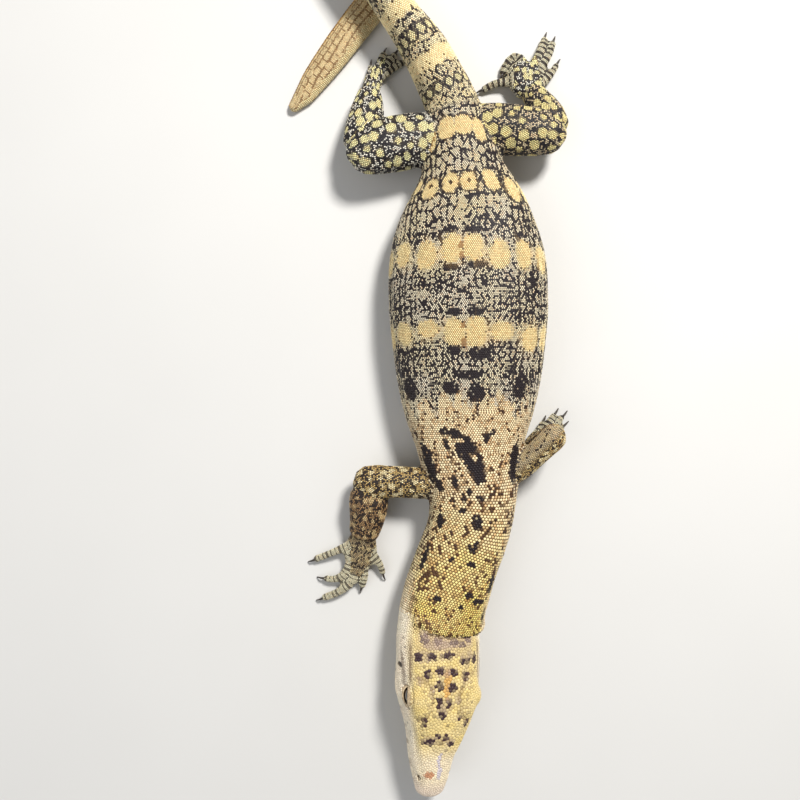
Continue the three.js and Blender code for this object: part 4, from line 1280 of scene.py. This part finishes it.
# how far apart the rows are, and the scales in a row, at distances along the body
ROW_PITCH = ([48, 53, 58, 62, 88, 100, 112, 120, 195, 226, 300, 400, 473],
             [0.50, 0.54, 0.66, 0.72, 0.72, 0.62, 0.50, 0.44, 0.44, 0.52, 0.50, 0.42, 0.36])
PITCH = ([48, 53, 53.5, 58, 58.5, 88, 90, 100, 101, 112, 113, 122, 123, 195, 210, 226, 300, 473],
         [0.62, 0.62, 0.78, 0.78, 0.94, 0.94, 0.84, 0.84, 0.74,
          0.74, 0.64, 0.64, 0.57, 0.57, 0.60, 0.66, 0.62, 0.42])
chance = np.random.default_rng(7)
covered = []


def colour_scales(places, name):
    """Colours of a set of scales and of the skin round them, no two scales quite alike."""
    covered.append(places)
    grain = chance.random(len(places))
    tones = markings(np.full(len(places), part_number[name]), places[:, ALONG], places[:, TURN], grain)
    shade = 0.78 + 0.38 * chance.random((len(places), 1))
    blush = unit(chance.random((len(places), 1)) - 0.7) * np.array([0.0, 0.5, 0.8])
    return tones[0] * shade * (1 - blush), tones[1]


behind_head = [name for name in LENGTHS if name not in ("head", "lower_jaw")]
tail_end = along_body["tip"] + 1
upper = lay_rows(body, 47.6, tail_end, ROW_PITCH, PITCH, behind_head + ["head"], (0, BELLY_EDGE))
upper = upper[upper[:, ALONG] > fold_of_nape(upper[:, TURN]) + 0.25]
for title, low, high, shape, rise, fill in (
    ("neck_scales", 0, 92, BEAD, 0.30, (0.90, 0.90)),
    ("shoulder_scales", 92, 116, BEAD, 0.26, (0.94, 0.90)),
    ("back_scales_1", 116, 134, LOZENGE, 0.18, (1.04, 0.88)),
    ("back_scales_2", 134, 150, LOZENGE, 0.18, (1.04, 0.88)),
    ("back_scales_3", 150, 168, LOZENGE, 0.18, (1.04, 0.88)),
    ("back_scales_4", 168, 196, LOZENGE, 0.18, (1.04, 0.88)),
    ("tail_scales_1", 196, 262, LOZENGE, 0.18, (1.06, 0.90)),
    ("tail_scales_2", 262, 360, LOZENGE, 0.18, (1.06, 0.90)),
    ("tail_scales_3", 360, 480, LOZENGE, 0.15, (1.10, 0.92)),
):
    chosen = upper[(upper[:, ALONG] >= low) & (upper[:, ALONG] < high)]
    crest = unit((9 - np.abs(chosen[:, TURN])) / 5) * unit((chosen[:, ALONG] - 222) / 20)
    height = rise * (0.85 + 0.3 * chance.random(len(chosen))) + 0.30 * crest
    set_scales(title, chosen, shape, colour_scales(chosen, "trunk_rear"), height, 0.10, fill)
belly = lay_rows(body, 48, tail_end, ([0, 205, 260, 473], [1.05, 1.05, 0.80, 0.50]),
                 ([0, 205, 260, 473], [0.94, 0.94, 0.84, 0.54]), behind_head, (BELLY_EDGE, 181))
belly = belly[belly[:, ALONG] > fold_of_nape(belly[:, TURN]) + 0.3]
set_scales("belly_scales", belly, LOZENGE, colour_scales(belly, "trunk_rear"),
           np.full(len(belly), 0.17), 0.08, (1.04, 0.97))

for limb in ("foreleg_right", "foreleg_left", "hindleg_right", "hindleg_left"):
    laid, shades = [], []
    foot = limb.replace("foreleg", "hand").replace("hindleg", "foot")
    lengths = [(f"{limb}_upper", 0.46, 0.54), (f"{limb}_lower", 0.46, 0.54), (f"{foot}_palm", 0.44, 0.50)]
    for name, row_pitch, pitch in lengths + [(f"{foot}_toe_{k}", 0.36, 0.42) for k in range(1, 6)]:
        course = courses[name]
        rows = lay_rows(course, -3, course.length + 3, ([0], [row_pitch]), ([0], [pitch]), [name], (0, 181))
        if len(rows):
            laid.append(rows)
            shades.append(colour_scales(rows, name))
    offset = 0
    for rows in laid:
        rows[:, ALONG] += offset
        offset = rows[:, ALONG].max() + 1
    laid, shades = np.vstack(laid), [np.vstack(tones) for tones in zip(*shades)]
    height = 0.15 * (0.85 + 0.3 * chance.random(len(laid)))
    set_scales(f"{limb}_scales", laid, LOZENGE, shades, height, 0.08, (1.0, 0.90))


# Granules
# Where rows of scales meet, at the roots and bends of the legs, small rounded grains of the same horn cover
# what the rows leave bare. They are as wide as the nearest scales, or finer.
GRANULES_TRIED, PLATES_TRIED = 160000, 80000
FINEST_BARE = 0.80  # how far from the next scale a granule must be, as a share of that scale's size
WIDEST_GRANULE = 0.62
covered = np.vstack([places[:, :ALONG] for places in covered])
tree = tree_of(covered[:, SPOT])
loose = skin_spots(np.nonzero(~np.isin(triangle_part, head_numbers))[0], GRANULES_TRIED)
nearest = [tree.find(spot) for spot in loose]
owner = np.array([k for _, k, _ in nearest])
cell = np.maximum(covered[owner, LONG], covered[owner, WIDE])
numbers = triangle_part[faces_under(loose)]
bare = np.array([far for _, _, far in nearest]) > FINEST_BARE * cell
loose, cell, numbers = loose[bare], cell[bare], numbers[bare]
along, turned = place_on_body(loose, numbers)
past_fold = (numbers != part_number["neck"]) | (along > fold_of_nape(turned) + 0.3)
loose, cell = loose[past_fold], cell[past_fold]
filled = spread_out([], loose, cell * FINEST_BARE)
below = faces_under(filled)
numbers, out = triangle_part[below], facing[below]
owner = np.array([tree.find(spot)[1] for spot in filled])
along, turned = place_on_body(filled, numbers)
size = np.minimum(np.maximum(covered[owner, LONG], covered[owner, WIDE]), WIDEST_GRANULE)
filling = np.c_[filled, out, covered[owner, BACK], size, size, along, turned]
tones = markings(numbers, along, turned, chance.random(len(filling)))
set_scales("granules", filling, BEAD, tones, np.full(len(filling), 0.14), 0)


# Plates of the head
# Small many-sided horny plates, under a millimetre across, finest at the snout and round the eyes, with one
# neat row along each lip. Each plate has a rounded rim, and darker skin shows between them, partly painted
# shade.
LIP_ROW = 0.48  # from the line of the mouth to the middles of the plates along it
RIM_GAP = 0.32  # from the edge of a pit to the middles of the plates round it
PLATE_PUSH, PLATE_REACH = 0.22, 1.25


def plate_size(along, turned, spots):
    """The distance between neighbouring plates."""
    size = np.interp(along, [0, 6, 14, 20, 36, 44, 49], [0.50, 0.62, 0.74, 0.84, 0.84, 0.72, 0.60])
    temple = unit((np.abs(turned) - 42) / 12) * unit((along - 15) / 6)
    size = blend(temple, size, 0.60)
    throat = unit((np.abs(turned) - 98) / 12)
    size = blend(throat, size, 0.82)
    for centre in eyes.values():
        close = unit(1 - (np.linalg.norm(spots - centre, axis=1) - 4.2) / 2.0)
        size = blend(close, size, 0.50)
    return size


def describe(spots):
    """Where places on the head are: along, round, above the mouth, and how far apart plates are there."""
    numbers = np.full(len(spots), part_number["head"])
    along, turned = place_on_body(spots, numbers)
    rise = rise_over_lips(spots, along)
    return along, turned, rise, plate_size(along, turned, spots)


LID_LONG, LID_HIGH = 2.85, 1.75  # half the opening of an eye
LID_ROOM = 0.72


def lid_ways(name):
    """Forwards and upwards in the plane of an eye's opening."""
    way = socket_way[name]
    forward = body.point(EYE_BACK - 1, 0, 0) - body.point(EYE_BACK, 0, 0)
    forward = forward - way * (forward @ way)
    forward /= np.linalg.norm(forward)
    upward = np.cross(forward, way)
    return forward, upward * (1 if upward[2] > 0 else -1)


def allowed_spot(spots, along, turned):
    """Whether each place is in front of the fold of the nape and clear of the eyes, nostrils and ears."""
    clear = along < fold_of_nape(turned) - 0.12
    for name, centre in eyes.items():
        way = socket_way[name]
        offset = spots - centre
        forward, upward = lid_ways(name)
        almond = (offset @ forward / (LID_LONG + LID_ROOM)) ** 2
        almond += (offset @ upward / (LID_HIGH + LID_ROOM)) ** 2
        clear &= ~((almond < 1) & (offset @ way > 0))
    for middle, wide, tall in pits:
        clear &= pit_reach(spots, middle, tall) > wide + 0.36
    return clear


socket_way = {}
for name, side in EYE_SIDES.items():
    way = body.point(EYE_BACK, side * 10, 2.2) - body.point(EYE_BACK, 0, 0)
    socket_way[name] = way / np.linalg.norm(way)

head_faces = np.nonzero(
    np.isin(triangle_part, head_numbers + [part_number["neck"]])
    & (point_along[triangles[:, 0]] < 52)
)[0]
lips = []
for side in (-1, 1):
    for above in (-1, 1):
        fan = [(3.0, turn) for turn in np.radians(np.arange(6, 84, 12))]
        for along, turn in fan + [(along, math.pi / 2) for along in np.arange(3.0, MOUTH_CORNER, 0.95)]:
            middle, ahead, side_way, top, _ = body.frames(np.array([along]))
            up = float(mouth_height(along)) + above * LIP_ROW
            start = middle[0] + top[0] * up
            way = side_way[0] * side * math.sin(turn) - ahead[0] * math.cos(turn)
            place = surface.ray_cast(Vector(start), Vector(way))[0]
            if place is not None:
                lips.append(place)
rims = []
for pit, wide, tall in pits:
    out_here = facing[touch(pit)[1]]
    across = np.cross(out_here, [0, 0, 1])
    across /= np.linalg.norm(across)
    up = np.cross(across, out_here)
    number = round(2 * math.pi * (wide + RIM_GAP) * (1 + tall) / 2 / 0.50)
    for turn in np.arange(number) * 2 * math.pi / number:
        ring_way = across * math.cos(turn) * (wide + RIM_GAP) + up * math.sin(turn) * (wide * tall + RIM_GAP)
        rims.append(touch(pit + ring_way + out_here * 0.4)[0])
lips = np.array(lips + rims)
loose = skin_spots(head_faces, PLATES_TRIED)
along, turned, rise, size = describe(loose)
at_lips = (np.abs(rise) < LIP_ROW + 0.62 * size) & (along < MOUTH_CORNER)
at_lips &= (np.abs(turned) > 55) | (along < 2)
fit = allowed_spot(loose, along, turned) & ~at_lips
loose, size = loose[fit], size[fit]
sites = spread_out(lips, loose, size * 0.80)
fixed = len(lips)
for _ in range(3):
    size = describe(sites)[-1]
    tree = tree_of(sites)
    moved = sites.copy()
    for k in range(fixed, len(sites)):
        push = np.zeros(3)
        for _, other, far in tree.find_range(sites[k], size[k] * PLATE_REACH):
            if other != k:
                push += (sites[k] - sites[other]) / max(far, 0.05) * (size[k] * PLATE_REACH - far)
        moved[k] = touch(sites[k] + push * PLATE_PUSH)[0]
    sites = moved
along, turned, rise, size = describe(sites)
number = np.arange(len(sites))
keep_it = allowed_spot(sites, along, turned) | ((number < fixed) & (number >= fixed - len(rims)))
sites, along, turned, rise, size = (values[keep_it] for values in (sites, along, turned, rise, size))

tree = tree_of(sites)
grain = chance.random(len(sites))
plate_tone, _ = markings(np.full(len(sites), part_number["head"]), along, turned, grain)
plate_tone = plate_tone * (0.90 + 0.18 * chance.random((len(sites), 1)))
facing_at = facing[faces_under(sites)]


def plate_outline(k):
    """The corners of one plate: the part of the skin nearer to it than to its neighbours."""
    way_out = facing_at[k]
    across = np.cross(way_out, [0.3, 0.9, 0.1])
    across /= np.linalg.norm(across)
    up = np.cross(way_out, across)
    limit = max(size[k] * 0.72, 0.60)
    ring = [(limit * math.cos(turn), limit * math.sin(turn)) for turn in np.arange(8) * math.pi / 4]
    for _, other, far in tree.find_range(sites[k], max(size[k] * 2, 1.5)):
        if other == k:
            continue
        offset = sites[other] - sites[k]
        if offset @ way_out < -0.8 * far:
            continue
        x, y = offset @ across, offset @ up
        reach = math.hypot(x, y)
        if reach < 0.05:
            continue
        x, y, half = x / reach, y / reach, reach / 2
        clipped = []
        for (ax, ay), (bx, by) in zip(ring, ring[1:] + ring[:1]):
            da, db = ax * x + ay * y - half, bx * x + by * y - half
            if da <= 0:
                clipped.append((ax, ay))
            if (da < 0) != (db < 0):
                t = da / (da - db)
                clipped.append((ax + t * (bx - ax), ay + t * (by - ay)))
        ring = clipped
        if len(ring) < 3:
            return None, None
    ring = [corner for corner, after in zip(ring, ring[1:] + ring[:1]) if math.dist(corner, after) > 0.04]
    if len(ring) < 3:
        return None, None
    spots = [sites[k] + across * x + up * y for x, y in ring]
    return spots, way_out


HEAD_REACH = 50  # the length of the head on the map


def set_plates(title, chosen):
    """Joins the chosen plates, each a closed shape with a bevelled rim and a slightly raised middle."""
    shape = bmesh.new()
    owner = shape.verts.layers.int.new("owner")
    for k in chosen:
        outline, way_out = plate_outline(k)
        if outline is None:
            continue
        middle = sum(outline) / len(outline)
        gap = 0.045 / size[k]
        rings = []
        for share, height in ((1 - gap, -0.06), (1 - gap, 0.06), (0.80, 0.135)):
            ring = []
            for spot in outline:
                spot = middle + (spot - middle) * share
                vertex = shape.verts.new(Vector(touch(spot)[0] + way_out * height) / METRE)
                vertex[owner] = int(k)
                ring.append(vertex)
            rings.append(ring)
        for low, high in zip(rings, rings[1:]):
            bridge(shape, low, high)
        shape.faces.new(rings[0][::-1])
        dome = 0.155 + 0.05 * (0.9 - size[k])
        peak = shape.verts.new(Vector(touch(middle)[0] + way_out * dome) / METRE)
        peak[owner] = int(k)
        for a, b in zip(rings[-1], rings[-1][1:] + rings[-1][:1]):
            shape.faces.new((a, b, peak))
    owners = np.array([vertex[owner] for vertex in shape.verts])
    spots, faces = read_off(shape)
    spots *= METRE
    piece = build(title, spots, faces, plate_tone[owners])
    local = (spots - sites[owners]) / size[owners][:, None]
    centre = unrolled(along[owners], 0, HEAD_REACH, turned[owners])
    lay_map(piece, centre + local[:, :2] * PATCH / 2)


groups = {
    "crown_plates": (np.abs(turned) < 62) & (along >= 20),
    "snout_plates": (np.abs(turned) < 90) & (along < 20),
    "cheek_plates": (np.abs(turned) >= 62) & (along >= 20) & (rise > 0),
}
groups["throat_plates"] = ~np.logical_or.reduce(list(groups.values()))
for title, chosen in groups.items():
    set_plates(title, np.nonzero(chosen)[0])


# Eyes
# Dark wet balls set deep under the lids: a round black pupil with a thin gold rim, in a brown iris that
# darkens outwards. Each takes the place of the solid ball of its eye.
PUPIL = "050405"
# the rings round the pupil: degrees from its middle to where each begins, its softness and its colour
EYE_RINGS = ((12, 3, "9A6A2C"), (15, 2, "2A180E"), (33, 5, "0C0808"))
wet = Finish("eye")
wet_material = wet.shade({
    "Base Color": wet.painted(),
    "Roughness": 0.12,
    "Coat Weight": 0.9,
    "Coat Roughness": 0.03,
    "Specular IOR Level": 0.6,
})
for name, centre in eyes.items():
    ball = bmesh.new()
    bmesh.ops.create_uvsphere(ball, u_segments=48, v_segments=32, radius=(EYE_RADIUS - 0.02) / METRE)
    bmesh.ops.rotate(ball, verts=ball.verts, matrix=Vector((0, 0, 1)).rotation_difference(
        Vector(socket_way[name])).to_matrix())
    ways = np.array([vertex.co.normalized()[:] for vertex in ball.verts])
    bmesh.ops.translate(ball, verts=ball.verts, vec=Vector(centre) / METRE)
    off = np.degrees(np.arccos(np.clip(ways @ socket_way[name], -1, 1)))
    colour = tint(PUPIL)
    for rim, soft, tone in EYE_RINGS:
        colour = choose(unit((off - rim) / soft), colour, tint(tone))
    piece = cast(name + "_ball", ball)
    piece.data.shade_smooth()
    piece.data.materials.append(wet_material)
    paint(piece, colour)
    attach(piece, "root")
    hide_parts(name)


# Eyelids
# A soft raised rim of skin follows the pointed oval of each eye, dark where it meets the ball. Three rows of
# small beads are set in it.
LID_WIDE, LID_THICK, LID_SUNK = 0.50, 0.26, 0.06
LID_OVER, LID_BEAD = 0.42, 0.34
LID_DARK = EYE_RADIUS + 0.38
for name, centre in eyes.items():
    way = socket_way[name]
    forward, upward = lid_ways(name)
    around, across = 96, 12
    turns = np.arange(around) * 2 * math.pi / around
    flat = np.c_[np.cos(turns) * LID_LONG, np.sign(np.sin(turns)) * np.abs(np.sin(turns)) ** 1.2 * LID_HIGH]
    deep = np.sqrt((EYE_RADIUS + LID_OVER) ** 2 - (flat**2).sum(1))
    line = flat[:, :1] * forward + flat[:, 1:] * upward + deep[:, None] * way
    outward = straight(line)
    run = straight(np.roll(line, -1, axis=0) - np.roll(line, 1, axis=0))
    widthways = np.cross(outward, run)
    rim = bmesh.new()
    rings = []
    for j in range(around):
        ring = []
        for i in range(across):
            turn = 2 * math.pi * i / across
            swell = 1 + 0.13 * abs(math.sin(turns[j] * 15)) * (math.sin(turn) > -0.2)
            spot = centre + line[j] + widthways[j] * (LID_WIDE * math.cos(turn) * swell)
            spot = spot + outward[j] * (LID_THICK * math.sin(turn) * swell - LID_SUNK)
            ring.append(rim.verts.new(Vector(spot) / METRE))
        rings.append(ring)
    for low, high in zip(rings, rings[1:] + rings[:1]):
        bridge(rim, low, high)
    bmesh.ops.recalc_face_normals(rim, faces=rim.faces)
    spots, faces = read_off(rim)
    spots *= METRE
    near_ball = unit((LID_DARK - np.linalg.norm(spots - centre, axis=1)) / 0.2)
    tone = choose(near_ball, tint("CBB08A"), tint("2A1A16"))
    lid = build(name.replace("eye", "eyelid"), spots, faces, tone)
    lengthways = np.repeat(turns / 7 + 0.05, across)
    lay_map(lid, np.c_[lengthways, np.tile(np.arange(across) / across * 0.9 + 0.05, around)])
    grains = []
    for first, turn in ((0, 0.55), (1, 1.57), (0, 2.6)):
        chosen = np.arange(first, around, 2)
        way_out = widthways[chosen] * math.cos(turn) + outward[chosen] * math.sin(turn)
        spots = centre + line[chosen] + widthways[chosen] * LID_WIDE * math.cos(turn)
        spots = spots + outward[chosen] * (LID_THICK * math.sin(turn) - LID_SUNK) + way_out * 0.06
        size = np.full((len(chosen), 1), LID_BEAD)
        way_back = np.cross(way_out, run[chosen])
        grains.append(np.c_[spots, way_out, way_back, size, size, chosen, size * 0 + 60 * turn])
    grains = np.vstack(grains)
    tone = choose(chance.random(len(grains)) ** 2, tint("E6D3AE"), tint("A08468"))
    height = np.full(len(grains), 0.10)
    set_scales(name.replace("eye", "lid_grains"), grains, BEAD, (tone, tone * 0.5), height, 0)


# Claws
# Curved horn, brown-black and smooth, one at the end of every toe, its root sunk in the skin. The five claws
# of a hand or foot are one piece.
CLAW_LENGTH, CLAW_SUNK = 1.9, 1.2
CLAW_ROOT, CLAW_TIP = 0.50, 0.20
horn = Finish("claw")
horn_material = horn.shade({
    "Base Color": horn.mix(horn.grain(0.8), (0.018, 0.014, 0.012, 1), (0.060, 0.045, 0.034, 1)),
    "Roughness": 0.32,
})
for foot in TOES:
    claws = bmesh.new()
    for k in range(1, 6):
        toe = courses[f"{foot}_toe_{k}"]
        end = toe.rows[-1, :3].copy()
        flat = end - toe.rows[-2, :3]
        flat[2] = 0
        flat /= np.linalg.norm(flat)
        side_way = np.array([flat[1], -flat[0], 0])
        made = bmesh.ops.create_uvsphere(claws, u_segments=10, v_segments=16, radius=1)["verts"]
        for vertex in made:
            t = 0.5 + 0.5 * vertex.co.z
            thick = CLAW_ROOT + (CLAW_TIP - CLAW_ROOT) * t**1.4
            width = math.hypot(vertex.co.x, vertex.co.y)
            blunt = min(1.0, width * 2.2)
            x, y = (vertex.co.x / width, vertex.co.y / width) if width > 1e-6 else (0.0, 0.0)
            height = 1.35 + 0.55 * math.sin(math.pi * min(1.0, 1.15 * t)) - 0.95 * t * t
            spot = np.array([end[0], end[1], height]) + flat * (-CLAW_SUNK + (CLAW_LENGTH + CLAW_SUNK) * t)
            spot = spot + side_way * (x * thick * 0.8 * blunt) + np.array([0, 0, y * thick * blunt])
            vertex.co = Vector(spot) / METRE
    bmesh.ops.recalc_face_normals(claws, faces=claws.faces)
    piece = cast(f"{foot}_claws", claws)
    piece.data.shade_smooth()
    piece.data.materials.append(horn_material)
    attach(piece, "root")
    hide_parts(*[f"{foot}_claw_{k}" for k in range(1, 6)])
